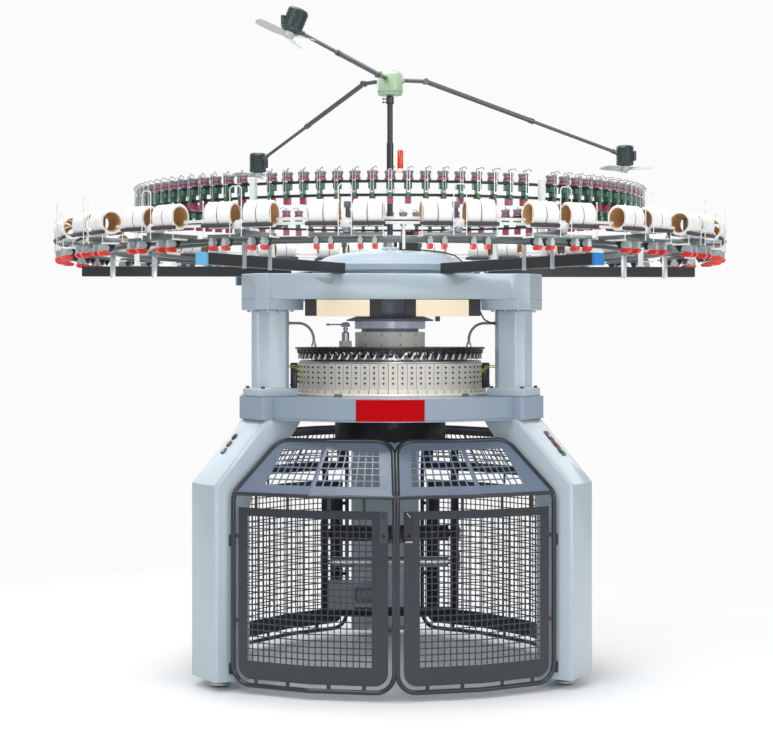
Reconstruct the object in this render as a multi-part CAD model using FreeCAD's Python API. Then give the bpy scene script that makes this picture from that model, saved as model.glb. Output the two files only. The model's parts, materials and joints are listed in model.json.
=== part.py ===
import FreeCAD, Part
import math
import os

# Large-diameter circular knitting machine with elastic-yarn rollers and a fan mast.
# Millimetres. The origin is on the floor, on the needle cylinder's axis; +Z is up and the
# front of the machine faces -Y. Angles are in degrees in plan, counted from +X.

V = FreeCAD.Vector
UP = V(0, 0, 1)

# ---- clearances -------------------------------------------------------------------------
RUNNING_GAP = 0.3            # between a piece that moves and what carries it
DOOR_TO_LEG = 13.0           # from a guard's hinge tube to the side of the leg
MEETING_GAP = 14.0           # between the end faces of two guards of a pair
NEEDLE_GAP = 1.5             # between the needle cylinder and the cam boxes

# ---- legs, bed and columns --------------------------------------------------------------
LEG_ANGLES = {"leg_right": 330.0, "leg_rear": 90.0, "leg_left": 210.0}
LEG_WIDTHS = {"leg_right": 256.0, "leg_rear": 360.0, "leg_left": 256.0}
LEG_OUTER_RADIUS = 1005.0
LEG_DEPTH = 175.0            # radial depth of the upright part
LEG_SHOULDER_HEIGHT = 922.0
LEG_TOP_OUTER_RADIUS = 743.0
LEG_TOP_INNER_RADIUS = 560.0
LEG_EDGE_CHAMFER = 12.0
LEG_ELBOW = (                # corners of a leg's inner side: shares of its run and of its drop
    (0.196, 0.292),
    (0.63, 0.773),
    (0.919, 1.048),
    (1.0, 1.375),
)
FOOT_HEIGHT = 34.0
FOOT_PAD_THICKNESS = 16.0
FOOT_PAD_RADIUS = 50.0
FOOT_STEM_RADIUS = 16.0
BED_BOTTOM = 1213.0
BED_THICKNESS = 105.0
BED_RADIUS = 722.0
BED_LOBE_RADIUS = 762.0
BED_LOBE_WIDTH = 250.0
BED_SHOULDER_RISE = 8.0
BED_SHOULDER_RUN = 40.0
BED_BORE_RADIUS = 300.0
GEAR_RECESS_RADIUS = 436.0
GEAR_RECESS_DEPTH = 56.0
COLUMN_RADIUS = 658.0        # from the machine's axis to a column's axis
COLUMN_WIDTH = 154.0
COLUMN_BEVEL = 34.0
COLUMN_FOOT_WIDTH = 191.0
COLUMN_FOOT_HEIGHT = 38.0
COLUMN_HEIGHT = 402.0

# ---- crown ------------------------------------------------------------------------------
CROWN_LOBE_WIDTH = 230.0
CROWN_LOBE_DROP = 50.0       # a lobe reaches this far below the crown's web
CROWN_WEB_THICKNESS = 118.0
CROWN_FLAT_DISTANCE = 444.0
CROWN_LOBE_RADIUS = 773.0
CROWN_LOBE_BEVEL = 45.0
DOME_RADIUS = 380.0
DOME_NECK_RADIUS = 360.0
DOME_SHELL_RADIUS = 374.0
DOME_KNEE_RADIUS = 296.0
DOME_KNEE_RISE = 47.0
DOME_NECK_HEIGHT = 18.0
DOME_RIM_HEIGHT = 35.0
DOME_RISE = 71.0
DOME_TOP_RADIUS = 150.0
DISPLAY_WIDTH = 352.0
DISPLAY_HEIGHT = 78.0
DISPLAY_DEPTH = 42.0
DISPLAY_CENTRE = 230.0       # from the machine's middle plane

# ---- knitting head ----------------------------------------------------------------------
ROUND_SIDES = 24             # flats on the large turned rings
SMALL_SIDES = 18             # flats on the smaller ones
CYLINDER_RADIUS = 381.0      # a 30 inch needle cylinder
CYLINDER_WALL = 29.0
CYLINDER_STAND = 8.0         # of the needle cylinder above the cam boxes
GEAR_RADIUS = 428.0
GEAR_THICKNESS = 30.0
GEAR_BORE_RADIUS = 235.0
RIM_RADIUS = 489.0
RIM_HEIGHT = 10.0
BASE_RING_RADIUS = 467.0
BASE_RING_HEIGHT = 20.0
RING_BORE_STEP = 8.0         # from the cam boxes out to the base ring's bore
CAM_COUNT = 64
CAM_DEPTH = 64.0
CAM_HEIGHT = 122.0
CAM_SIDE_GAP = 1.4
GUIDE_PLATE_RADIUS = 461.0
GUIDE_PLATE_LIFT = 36.0      # of the guide plate above the dial
GUIDE_PLATE_THICKNESS = 11.0
GUIDE_DEPTH = 26.0
GUIDE_HEIGHT = 50.0
GUIDE_WIDTH = 22.0
GUIDE_RADIUS = 424.0
DRUM_RADIUS = 170.0
DRUM_SHARE = 0.327           # shares of the room between the guide plate and the crown
BAND_RADIUS = 139.0
BAND_SHARE = 0.067
COLLAR_RADIUS = 172.0
COLLAR_SHARE = 0.17
FLARE_RADIUS = 212.0
FLARE_SHARE = 0.121
HUB_RADIUS = 130.0
DIAL_RADIUS = 368.0
DIAL_THICKNESS = 16.0
DIAL_LIFT = 6.0              # of the dial above the needle cylinder
DIAL_SHAFT_RADIUS = 60.0
ADJUSTER_ANGLE = 196.0
ADJUSTER_RADIUS = 226.0
ADJUSTER_BLOCK_WIDTH = 48.0
ADJUSTER_BLOCK_LENGTH = 60.0
ADJUSTER_BLOCK_HEIGHT = 30.0
ADJUSTER_POST_RADIUS = 9.0
ADJUSTER_POST_HEIGHT = 66.0
KNOB_RADIUS = 22.0
KNOB_HEIGHT = 24.0
LEVER_REACH = 96.0
LEVER_THICKNESS = 12.0
HOSE_RADIUS = 8.0
HOSE_RISE = 113.0            # above the guide plate
HOSE_BEND = 48.0
HOSE_STEPS = 3               # straight runs in the bend
HOSE_LANDING_RADIUS = 425.0
SIDE_BLOCK_GAP = 3.0
SIDE_BLOCK_DEPTH = 34.0
SIDE_BLOCK_WIDTH = 60.0

# ---- take-down --------------------------------------------------------------------------
FRAME_RING_RADIUS = 268.0
FRAME_RING_WALL = 30.0
FRAME_RING_BOTTOM = 1093.0
FRAME_SPAN = 660.0           # outside to outside of the two side arms
FRAME_ARM_THICKNESS = 30.0
FRAME_ARM_WIDTH = 150.0
FRAME_BOTTOM = 240.0
FRAME_HEAD_HEIGHT = 40.0
TIE_WIDTH = 60.0
TIE_HEIGHT = 36.0
NIP_ROLLER_RADIUS = 34.0
NIP_HEIGHT = 640.0
NIP_GAP = 3.0
CLOTH_ROLLER_RADIUS = 26.0
CLOTH_ROLLER_HEIGHT = 500.0
GEARBOX_LENGTH = 130.0
GEARBOX_WIDTH = 120.0
GEARBOX_HEIGHT = 130.0
GEARBOX_MOTOR_RADIUS = 42.0

# ---- guards -----------------------------------------------------------------------------
GUARD_MIDDLE_RADIUS = 842.0  # where the two guards of a pair meet
GUARD_HINGE_RADIUS = 926.0   # along the leg
GUARD_BOW = 50.0             # how far a guard bows out between its two ends
GUARD_BOTTOM = 20.0
GUARD_FOLD_HEIGHT = 878.0
GUARD_TOP = 1135.0
GUARD_TOP_SHARE = 0.772      # plan size of the top edge against the fold's
GUARD_TOP_INSET = 4.0        # extra room between the top corner and the leg
GUARD_TUBE = 22.0
GUARD_SHEET = 3.0
MESH_COLUMNS = 2
MESH_ROWS = 2
MESH_BAR = 26.0
MESH_MARGIN = 62.0
MESH_TOP_MARGIN = 80.0
MESH_BOTTOM_MARGIN = 140.0
SLOPE_MESH_MARGIN = 60.0
CUTTER_REACH = 150.0         # each side of a guard's wall
HINGE_HEIGHTS = (120.0, 700.0)
HINGE_LUG_WIDTH = 12.0
HINGE_LUG_LAP = 6.0          # how far a lug lies over its block
HINGE_LUG_ROOT = 4.0         # how far a lug runs into the guard past the hinge's axis
HINGE_LUG_TALL = 30.0
HINGE_BLOCK_TALL = 50.0
HINGE_BLOCK_WIDTH = 24.0
LATCH_WIDTH = 36.0
LATCH_TALL = 136.0
LATCH_THICKNESS = 12.0
LATCH_DROP = 50.0            # from the fold down to the latch's top
LATCH_INSET = 4.0            # from the guard's end rail

# ---- buttons ----------------------------------------------------------------------------
BUTTON_RADIUS = 12.0
BUTTON_PROUD = 8.0
BUTTON_TRAVEL = 4.0
BUTTON_POCKET = 14.0
BUTTON_PITCH = 42.0
BUTTON_FIRST = 112.0         # along the slope, from the leg's top edge
BUTTON_OFFSET = 50.0         # from the leg's middle, away from the front

# ---- yarn creel -------------------------------------------------------------------------
ARM_COUNT = 6
ARM_START = 392.0
ARM_SIZE = 49.0
SIDE_ARM_STOP = 60.0         # how far the side arms stop short of the rollers' circle
LONG_ARM_PAST = 20.0         # how far the long arms reach past it
CAP_LENGTH = 50.0
RING_RADII = (1140.0, 1340.0)
STRAP_THICKNESS = 6.0
STRAP_WIDTH = 26.0
STRAP_DROP = 8.0             # how far a strap reaches below the arm
RING_SECTION = 18.0
RING_BOTTOM = 1992.0
RING_WIDTH = 26.0
CREEL_SIDES = 18             # flats on a ring, three between two arms
FEEDER_PLACES = 17           # places in each sixth; the one at the arm stays empty
FEEDER_RADIUS = 1200.0
FEEDER_RING_WIDTH = 30.0
FEEDER_RING_THICKNESS = 10.0
FEEDER_BODY_BOTTOM = 2193.0
FEEDER_BODY_HEIGHT = 47.0
FEEDER_BODY_DEPTH = 44.0
FEEDER_BODY_WIDTH = 34.0
REEL_RADIUS = 25.0
REEL_HEIGHT = 40.0
POST_SIZE = 24.0
POST_RISE = 18.0

# ---- roller units -----------------------------------------------------------------------
UNIT_COUNT = 22
UNIT_RADIUS = 1550.0
BRACKET_BAR_WIDTH = 26.0
BRACKET_BAR_HEIGHT = 18.0
BRACKET_BAR_OVERHANG = 40.0
RAIL_LENGTH = 300.0
RAIL_WIDTH = 30.0
RAIL_HEIGHT = 16.0
DRIVE_RADIUS = 13.0
DRIVE_SPACING = 89.5
DRIVE_LENGTH = 320.0
DRIVE_LIFT = 16.0            # of the rollers' axes above the bracket bar
GEAR_BOX_LENGTH = 48.0
GEAR_BOX_HEIGHT = 30.0
ROLL_RADIUS = 50.0
ROLL_LENGTH = 118.0
ROLL_SPACING = 176.0
ROLL_SIDES = 8
SENSOR_SPACING = 58.0
SENSOR_WIDTH = 14.0
SENSOR_DEPTH = 88.0
SENSOR_HEIGHT = 46.0

# ---- fan mast ---------------------------------------------------------------------------
MAST_BASE_HEIGHT = 60.0
MAST_BASE_WIDTH = 80.0
MAST_MOTOR_LENGTH = 100.0
MAST_MOTOR_WIDTH = 68.0
MAST_MOTOR_HEIGHT = 106.0
MAST_RADIUS = 14.0
SLEEVE_RADIUS = 17.0
SLEEVE_START_SHARE = 0.356   # shares of the mast's length
SLEEVE_END_SHARE = 0.671
MAST_LENGTH = 697.0
FAN_HUB_RADIUS = 64.0
FAN_HUB_HEIGHT = 117.0
FAN_ARM_RISE = 77.7          # above the underside of the fan hub
ELBOW_DISTANCE = 180.0
ELBOW_RADIUS = 16.0
ELBOW_WIDTH = 30.0
STUB_RADIUS = 15.0
FAN_ARM_RADIUS = 13.0
FAN_SLEEVE_RADIUS = 16.0
FAN_SLEEVE_SHARE = 0.55      # how much of an arm is its thicker inner tube
FAN_MOTOR_RADIUS = 45.0
FAN_MOTOR_HEIGHT = 105.0
FAN_BLADE_REACH = 150.0
FAN_BLADE_WIDTH = 62.0
FAN_BLADE_THICKNESS = 3.0
FAN_BLADE_PITCH = 18.0
FAN_NOSE_RADIUS = 24.0
FAN_NOSE_HEIGHT = 26.0
FANS = {
    # name: plan angle, radius and drop of the motor's middle, its shaft's tilt and the way that
    # leans in plan, and where the arm meets the motor: below its middle and to the shaft's side
    "front": (250.2, 1284.0, -63.0, 22.0, 188.0, 42.0, 22.0),
    "right": (14.0, 1237.0, 334.0, 0.0, 0.0, 0.0, 0.0),
    "rear": (134.0, 970.0, 336.0, 0.0, 0.0, 0.0, 0.0),
}
LAMP_RADIUS = 15.0
LAMP_HEIGHT = 94.0
LAMP_SHARE = 0.488           # of the mast's length
LAMP_OFFSET = 50.0
LAMP_BRACKET_WIDTH = 20.0
LAMP_BRACKET_HEIGHT = 14.0

# ---- worked-out sizes -------------------------------------------------------------------
LEG_INNER_RADIUS = LEG_OUTER_RADIUS - LEG_DEPTH
BED_TOP = BED_BOTTOM + BED_THICKNESS
CROWN_SEAT = BED_TOP + COLUMN_HEIGHT
WEB_BOTTOM = CROWN_SEAT + CROWN_LOBE_DROP
CROWN_TOP = WEB_BOTTOM + CROWN_WEB_THICKNESS
DOME_RIM_BOTTOM = CROWN_TOP + DOME_NECK_HEIGHT
DOME_RIM_TOP = DOME_RIM_BOTTOM + DOME_RIM_HEIGHT
DOME_TOP = DOME_RIM_TOP + DOME_RISE
RECESS_FLOOR = BED_TOP - GEAR_RECESS_DEPTH
GEAR_BOTTOM = RECESS_FLOOR + RUNNING_GAP
GEAR_TOP = GEAR_BOTTOM + GEAR_THICKNESS
RIM_TOP = BED_TOP + RIM_HEIGHT
BASE_RING_TOP = RIM_TOP + BASE_RING_HEIGHT
CAM_INNER_RADIUS = CYLINDER_RADIUS + NEEDLE_GAP
CAM_OUTER_RADIUS = CAM_INNER_RADIUS + CAM_DEPTH
RING_BORE_RADIUS = CAM_INNER_RADIUS + RING_BORE_STEP
CYLINDER_TOP = BASE_RING_TOP + CAM_HEIGHT + CYLINDER_STAND
DIAL_BOTTOM = CYLINDER_TOP + DIAL_LIFT
GUIDE_PLATE_BOTTOM = DIAL_BOTTOM + DIAL_THICKNESS + GUIDE_PLATE_LIFT
GUIDE_PLATE_TOP = GUIDE_PLATE_BOTTOM + GUIDE_PLATE_THICKNESS
HEAD_ROOM = WEB_BOTTOM - GUIDE_PLATE_TOP
DRUM_TOP = GUIDE_PLATE_TOP + DRUM_SHARE * HEAD_ROOM
ADJUSTER_BLOCK_TOP = GUIDE_PLATE_TOP + ADJUSTER_BLOCK_HEIGHT
BAND_TOP = DRUM_TOP + BAND_SHARE * HEAD_ROOM
COLLAR_TOP = BAND_TOP + COLLAR_SHARE * HEAD_ROOM
FLARE_TOP = COLLAR_TOP + FLARE_SHARE * HEAD_ROOM
HOSE_HEIGHT = GUIDE_PLATE_TOP + HOSE_RISE
ARM_TOP = CROWN_TOP + ARM_SIZE
SIDE_ARM_END = UNIT_RADIUS - SIDE_ARM_STOP
LONG_ARM_END = UNIT_RADIUS + LONG_ARM_PAST
RING_TOP = RING_BOTTOM + RING_SECTION
FEEDER_BODY_TOP = FEEDER_BODY_BOTTOM + FEEDER_BODY_HEIGHT
FEEDER_RING_TOP = FEEDER_BODY_TOP + FEEDER_RING_THICKNESS
BAR_TOP = RING_TOP + BRACKET_BAR_HEIGHT
DRIVE_AXIS_HEIGHT = BAR_TOP + DRIVE_LIFT
ROLL_REACH = ROLL_RADIUS + DRIVE_RADIUS + RUNNING_GAP
ROLL_ANGLE = math.degrees(math.acos(DRIVE_SPACING / 2 / ROLL_REACH))
ROLL_LIFT = math.sqrt(ROLL_REACH ** 2 - (DRIVE_SPACING / 2) ** 2)
ROLL_AXIS_HEIGHT = DRIVE_AXIS_HEIGHT + ROLL_LIFT
MAST_FOOT = DOME_TOP + MAST_BASE_HEIGHT
MAST_TOP = MAST_FOOT + MAST_LENGTH
SLEEVE_BOTTOM = MAST_FOOT + SLEEVE_START_SHARE * MAST_LENGTH
SLEEVE_TOP = MAST_FOOT + SLEEVE_END_SHARE * MAST_LENGTH
LAMP_BOTTOM = MAST_FOOT + LAMP_SHARE * MAST_LENGTH
FAN_HUB_BOTTOM = MAST_TOP + RUNNING_GAP
FAN_HUB_TOP = FAN_HUB_BOTTOM + FAN_HUB_HEIGHT
FAN_ARM_HEIGHT = FAN_HUB_BOTTOM + FAN_ARM_RISE
FRAME_INNER = FRAME_SPAN / 2 - FRAME_ARM_THICKNESS
FRAME_RING_BORE = FRAME_RING_RADIUS - FRAME_RING_WALL


# ---- helpers ----------------------------------------------------------------------------
def polar(radius, angle, z=0.0):
    """A point at a plan radius and angle."""
    return V(radius * math.cos(math.radians(angle)), radius * math.sin(math.radians(angle)), z)


def box(x0, x1, y0, y1, z0, z1):
    """A block between two corners."""
    return Part.makeBox(x1 - x0, y1 - y0, z1 - z0, V(x0, y0, z0))


def prism(points, direction):
    """A closed outline pushed along a direction."""
    face = Part.Face(Part.makePolygon(list(points) + [points[0]]))
    return face.extrude(direction)


def plan_prism(outline, z0, z1):
    """A plan outline of (x, y) pairs between two heights."""
    return prism([V(x, y, z0) for x, y in outline], V(0, 0, z1 - z0))


def radial_slab(profile, width):
    """A (radius, height) outline in the XZ plane, made `width` thick across it."""
    return prism([V(r, -width / 2, z) for r, z in profile], V(0, width, 0))


def turned(shape, angle):
    """The shape turned about the machine's axis."""
    copy = shape.copy()
    copy.rotate(V(0, 0, 0), UP, angle)
    return copy


def mirrored(shape):
    """The shape on the other side of the machine's middle plane."""
    return shape.mirror(V(0, 0, 0), V(1, 0, 0))


def facet_points(radius, sides, z, phase=0.0):
    """Corners of a regular outline whose flats lie at `radius`."""
    corner = radius / math.cos(math.pi / sides)
    return [polar(corner, phase + 360.0 * (i + 0.5) / sides, z) for i in range(sides)]


def disc(radius, z0, z1, sides=ROUND_SIDES):
    """A turned disc with flats."""
    return prism(facet_points(radius, sides, z0), V(0, 0, z1 - z0))


def ring(outer, inner, z0, z1, sides=ROUND_SIDES):
    """A turned ring with flats."""
    return disc(outer, z0, z1, sides).cut(disc(inner, z0 - 1, z1 + 1, sides))


def flat_face(points):
    """A plane face through a closed outline."""
    return Part.Face(Part.makePolygon(list(points) + [points[0]]))


def tapered(low, high):
    """A solid between two outlines with as many corners, walled with flat faces."""
    faces = [flat_face(low), flat_face(high)]
    for i in range(len(low)):
        j = (i + 1) % len(low)
        quad = [low[i], low[j], high[j], high[i]]
        normal = (quad[1] - quad[0]).cross(quad[3] - quad[0]).normalize()
        if abs(normal.dot(quad[2] - quad[0])) < 1e-6:
            faces.append(flat_face(quad))
        else:
            faces.append(flat_face([quad[0], quad[1], quad[2]]))
            faces.append(flat_face([quad[0], quad[2], quad[3]]))
    shell = Part.makeShell(faces)
    shell.sewShape()
    solid = Part.makeSolid(shell)
    if solid.Volume < 0:
        shell.reverse()
        solid = Part.makeSolid(shell)
    return solid


def cone(radius0, z0, radius1, z1, sides=ROUND_SIDES):
    """A tapered turned piece with flats."""
    return tapered(facet_points(radius0, sides, z0), facet_points(radius1, sides, z1))


def rod(start, end, radius, sides=8, phase=0.0):
    """A straight rod with flats between two points."""
    axis = end - start
    shape = prism(facet_points(radius, sides, 0, phase), V(0, 0, axis.Length))
    turn = FreeCAD.Rotation(UP, axis)
    shape.Placement = FreeCAD.Placement(start, turn).multiply(shape.Placement)
    return shape


def joined(*shapes):
    """One solid from several that touch or overlap."""
    return shapes[0].multiFuse(list(shapes[1:])).removeSplitter()


def around(shape, angles):
    """Copies of a shape at plan angles."""
    return [turned(shape, angle) for angle in angles]


# ---- legs, feet, bed, columns, crown ----------------------------------------------------
def make_leg(name):
    """One dog-legged leg with softened edges; the front pair have pockets for three buttons."""
    width = LEG_WIDTHS[name]
    profile = [
        (LEG_INNER_RADIUS, FOOT_HEIGHT),
        (LEG_OUTER_RADIUS, FOOT_HEIGHT),
        (LEG_OUTER_RADIUS, LEG_SHOULDER_HEIGHT),
        (LEG_TOP_OUTER_RADIUS, BED_BOTTOM),
        (LEG_TOP_INNER_RADIUS, BED_BOTTOM),
    ]
    run = LEG_INNER_RADIUS - LEG_TOP_INNER_RADIUS
    drop = BED_BOTTOM - LEG_SHOULDER_HEIGHT
    for run_share, drop_share in LEG_ELBOW:
        profile.append((LEG_TOP_INNER_RADIUS + run_share * run, BED_BOTTOM - drop_share * drop))
    leg = radial_slab(profile, width)
    long_edges = []
    for edge in leg.Edges:
        middle = edge.CenterOfMass
        on_side = abs(abs(middle.y) - width / 2) < 1
        upright = abs(middle.x - LEG_OUTER_RADIUS) < 1
        sloping = LEG_SHOULDER_HEIGHT < middle.z < BED_BOTTOM - 1 and middle.x > LEG_TOP_OUTER_RADIUS
        if on_side and (upright or sloping):
            long_edges.append(edge)
    leg = leg.makeChamfer(LEG_EDGE_CHAMFER, long_edges)
    if name != "leg_rear":
        for place in button_places(name):
            leg = leg.cut(button_prism(place, -BUTTON_POCKET, 5.0, BUTTON_RADIUS + RUNNING_GAP))
    return turned(leg, LEG_ANGLES[name])


def slope_direction():
    """Unit vector down the sloping panel of a leg, in the leg's own plane."""
    run = LEG_OUTER_RADIUS - LEG_TOP_OUTER_RADIUS
    drop = BED_BOTTOM - LEG_SHOULDER_HEIGHT
    return V(run, 0, -drop).normalize()


def button_places(name):
    """Centres of the three buttons on a front leg's sloping panel, in the leg's own frame."""
    side = BUTTON_OFFSET if name == "leg_right" else -BUTTON_OFFSET
    top = V(LEG_TOP_OUTER_RADIUS, side, BED_BOTTOM)
    return [top + slope_direction() * (BUTTON_FIRST + i * BUTTON_PITCH) for i in range(3)]


def button_prism(place, low, high, radius):
    """A button or its pocket, square to the sloping panel, between two depths."""
    down = slope_direction()
    outward = V(-down.z, 0, down.x)
    return rod(place + outward * low, place + outward * high, radius, 8)


def make_buttons(name):
    """The three push buttons of one front leg, placed on the machine."""
    low = BUTTON_TRAVEL + RUNNING_GAP - BUTTON_POCKET
    buttons = [button_prism(place, low, BUTTON_PROUD, BUTTON_RADIUS) for place in button_places(name)]
    return [turned(button, LEG_ANGLES[name]) for button in buttons]


def make_feet():
    """One levelling foot under each leg."""
    middle = (LEG_OUTER_RADIUS + LEG_INNER_RADIUS) / 2
    pad = rod(V(middle, 0, 0), V(middle, 0, FOOT_PAD_THICKNESS), FOOT_PAD_RADIUS, 8)
    stem = rod(V(middle, 0, FOOT_PAD_THICKNESS), V(middle, 0, FOOT_HEIGHT), FOOT_STEM_RADIUS, 6)
    return around(joined(pad, stem), LEG_ANGLES.values())


def make_bed():
    """The cast bed: a round plate with a lobe over each leg, a gear recess and a bore."""
    outline = []
    half = BED_LOBE_WIDTH / 2
    shoulder = BED_RADIUS + BED_SHOULDER_RISE
    wide = half + BED_SHOULDER_RUN
    lobe = [(shoulder, -wide), (BED_LOBE_RADIUS, -half), (BED_LOBE_RADIUS, half), (shoulder, wide)]
    for angle in sorted(LEG_ANGLES.values()):
        turn = FreeCAD.Rotation(UP, angle)
        outline += [polar(BED_RADIUS, angle + step, BED_BOTTOM) for step in (-45, -30)]
        outline += [turn.multVec(V(x, y, BED_BOTTOM)) for x, y in lobe]
        outline += [polar(BED_RADIUS, angle + step, BED_BOTTOM) for step in (30, 45)]
    bed = prism(outline, V(0, 0, BED_THICKNESS))
    bed = bed.cut(disc(GEAR_RECESS_RADIUS, RECESS_FLOOR, BED_TOP + 1, SMALL_SIDES))
    return bed.cut(disc(BED_BORE_RADIUS, BED_BOTTOM - 1, BED_TOP, SMALL_SIDES))


def bevelled_square(centre_x, width, bevel):
    """Plan corners of a square with cut corners, centred on the X axis."""
    half = width / 2
    inner = half - bevel
    corners = [(half, -inner), (half, inner), (inner, half), (-inner, half)]
    corners += [(-half, inner), (-half, -inner), (-inner, -half), (inner, -half)]
    return [(centre_x + x, y) for x, y in corners]


def make_column(angle):
    """A bevelled column with a square foot."""
    corners = bevelled_square(COLUMN_RADIUS, COLUMN_WIDTH, COLUMN_BEVEL)
    shaft = plan_prism(corners, BED_TOP, CROWN_SEAT)
    half = COLUMN_FOOT_WIDTH / 2
    foot_top = BED_TOP + COLUMN_FOOT_HEIGHT
    foot = box(COLUMN_RADIUS - half, COLUMN_RADIUS + half, -half, half, BED_TOP, foot_top)
    return turned(joined(shaft, foot), angle)


def make_crown():
    """The three-lobed crown beam that ties the columns together and carries the creel."""
    half = CROWN_LOBE_WIDTH / 2
    web = []
    lobes = []
    for angle in sorted(LEG_ANGLES.values()):
        turn = FreeCAD.Rotation(UP, angle)
        root = (CROWN_FLAT_DISTANCE - half * math.cos(math.pi / 6)) * 2
        corners = [
            (root, -half),
            (CROWN_LOBE_RADIUS - CROWN_LOBE_BEVEL, -half),
            (CROWN_LOBE_RADIUS, -half + CROWN_LOBE_BEVEL),
            (CROWN_LOBE_RADIUS, half - CROWN_LOBE_BEVEL),
            (CROWN_LOBE_RADIUS - CROWN_LOBE_BEVEL, half),
            (root, half),
        ]
        web += [turn.multVec(V(x, y, WEB_BOTTOM)) for x, y in corners]
        inner = COLUMN_RADIUS - half
        lobe = corners[1:5] + [(inner, half), (inner, -half)]
        lobes.append(turned(plan_prism(lobe, CROWN_SEAT, WEB_BOTTOM), angle))
    return joined(prism(web, V(0, 0, CROWN_WEB_THICKNESS)), *lobes)


def make_dome():
    """The shallow domed cover on the crown, with its rolled rim."""
    knee = DOME_RIM_TOP + DOME_KNEE_RISE
    neck = disc(DOME_NECK_RADIUS, CROWN_TOP, DOME_RIM_BOTTOM, SMALL_SIDES)
    rim = disc(DOME_RADIUS, DOME_RIM_BOTTOM, DOME_RIM_TOP, SMALL_SIDES)
    lower = cone(DOME_SHELL_RADIUS, DOME_RIM_TOP, DOME_KNEE_RADIUS, knee, SMALL_SIDES)
    upper = cone(DOME_KNEE_RADIUS, knee, DOME_TOP_RADIUS, DOME_TOP, SMALL_SIDES)
    return joined(neck, rim, lower, upper)


def make_displays():
    """The two display boxes under the crown's front."""
    half = DISPLAY_WIDTH / 2
    front = -CROWN_FLAT_DISTANCE
    left_edge = DISPLAY_CENTRE - half
    right_edge = DISPLAY_CENTRE + half
    right = box(left_edge, right_edge, front, front + DISPLAY_DEPTH, WEB_BOTTOM - DISPLAY_HEIGHT, WEB_BOTTOM)
    return [mirrored(right), right]


# ---- knitting head ----------------------------------------------------------------------
def make_base_ring():
    """The ring under the cam boxes, with a wider rim at its foot."""
    rim = disc(RIM_RADIUS, BED_TOP, RIM_TOP, SMALL_SIDES)
    body = disc(BASE_RING_RADIUS, RIM_TOP, BASE_RING_TOP, SMALL_SIDES)
    bore = disc(RING_BORE_RADIUS, BED_TOP - 1, BASE_RING_TOP + 1, SMALL_SIDES)
    return joined(rim, body).cut(bore)


def make_cam_boxes():
    """The ring of cam boxes round the needle cylinder."""
    pitch = math.pi / CAM_COUNT
    inner_half = CAM_INNER_RADIUS * math.tan(pitch) - CAM_SIDE_GAP / 2
    outer_half = CAM_OUTER_RADIUS * math.tan(pitch) - CAM_SIDE_GAP / 2
    outline = [
        (CAM_INNER_RADIUS, -inner_half),
        (CAM_OUTER_RADIUS, -outer_half),
        (CAM_OUTER_RADIUS, outer_half),
        (CAM_INNER_RADIUS, inner_half),
    ]
    cam = plan_prism(outline, BASE_RING_TOP, BASE_RING_TOP + CAM_HEIGHT)
    return around(cam, [360.0 * i / CAM_COUNT for i in range(CAM_COUNT)])


def make_yarn_guides():
    """The pointed yarn guides that hang under the guide plate, one over each cam box."""
    top = GUIDE_PLATE_BOTTOM
    profile = [(GUIDE_RADIUS, top), (GUIDE_RADIUS + GUIDE_DEPTH, top), (GUIDE_RADIUS, top - GUIDE_HEIGHT)]
    guide = radial_slab(profile, GUIDE_WIDTH)
    return around(guide, [360.0 * i / CAM_COUNT for i in range(CAM_COUNT)])


def make_cylinder():
    """The needle cylinder, standing on its gear; its corners lie on the full diameter."""
    flats = CYLINDER_RADIUS * math.cos(math.pi / SMALL_SIDES)
    return ring(flats, flats - CYLINDER_WALL, GEAR_TOP, CYLINDER_TOP, SMALL_SIDES)


def make_dial():
    """The needle dial and its shaft, hung just under the guide plate."""
    plate = disc(DIAL_RADIUS, DIAL_BOTTOM, DIAL_BOTTOM + DIAL_THICKNESS, SMALL_SIDES)
    shaft = disc(DIAL_SHAFT_RADIUS, DIAL_BOTTOM + DIAL_THICKNESS, GUIDE_PLATE_BOTTOM - RUNNING_GAP, 8)
    return joined(plate, shaft)


def make_dial_support():
    """The stepped hub that hangs from the crown: neck, flare, collar and band."""
    neck = disc(HUB_RADIUS, FLARE_TOP, WEB_BOTTOM, SMALL_SIDES)
    flare = cone(FLARE_RADIUS, COLLAR_TOP, HUB_RADIUS + 20, FLARE_TOP, SMALL_SIDES)
    collar = disc(COLLAR_RADIUS, BAND_TOP, COLLAR_TOP, SMALL_SIDES)
    band = disc(BAND_RADIUS, DRUM_TOP, BAND_TOP, SMALL_SIDES)
    return joined(neck, flare, collar, band)


def make_adjuster():
    """The block and post of the dial's height adjuster."""
    low = ADJUSTER_RADIUS - ADJUSTER_BLOCK_WIDTH / 2
    high = ADJUSTER_RADIUS + ADJUSTER_BLOCK_WIDTH / 2
    half = ADJUSTER_BLOCK_LENGTH / 2
    block = box(low, high, -half, half, GUIDE_PLATE_TOP, ADJUSTER_BLOCK_TOP)
    start = V(ADJUSTER_RADIUS, 0, ADJUSTER_BLOCK_TOP)
    post = rod(start, start + UP * ADJUSTER_POST_HEIGHT, ADJUSTER_POST_RADIUS, 8)
    return turned(joined(block, post), ADJUSTER_ANGLE)


def make_adjuster_handle():
    """The knob and lever on the adjuster's post."""
    bottom = ADJUSTER_BLOCK_TOP + ADJUSTER_POST_HEIGHT + RUNNING_GAP
    start = V(ADJUSTER_RADIUS, 0, bottom)
    knob = rod(start, start + UP * KNOB_HEIGHT, KNOB_RADIUS, 12)
    half = LEVER_THICKNESS / 2
    middle = bottom + KNOB_HEIGHT / 2
    root = ADJUSTER_RADIUS + KNOB_RADIUS / 2
    lever = box(root, ADJUSTER_RADIUS + LEVER_REACH, -half, half, middle - half, middle + half)
    return turned(joined(knob, lever), ADJUSTER_ANGLE)


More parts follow.
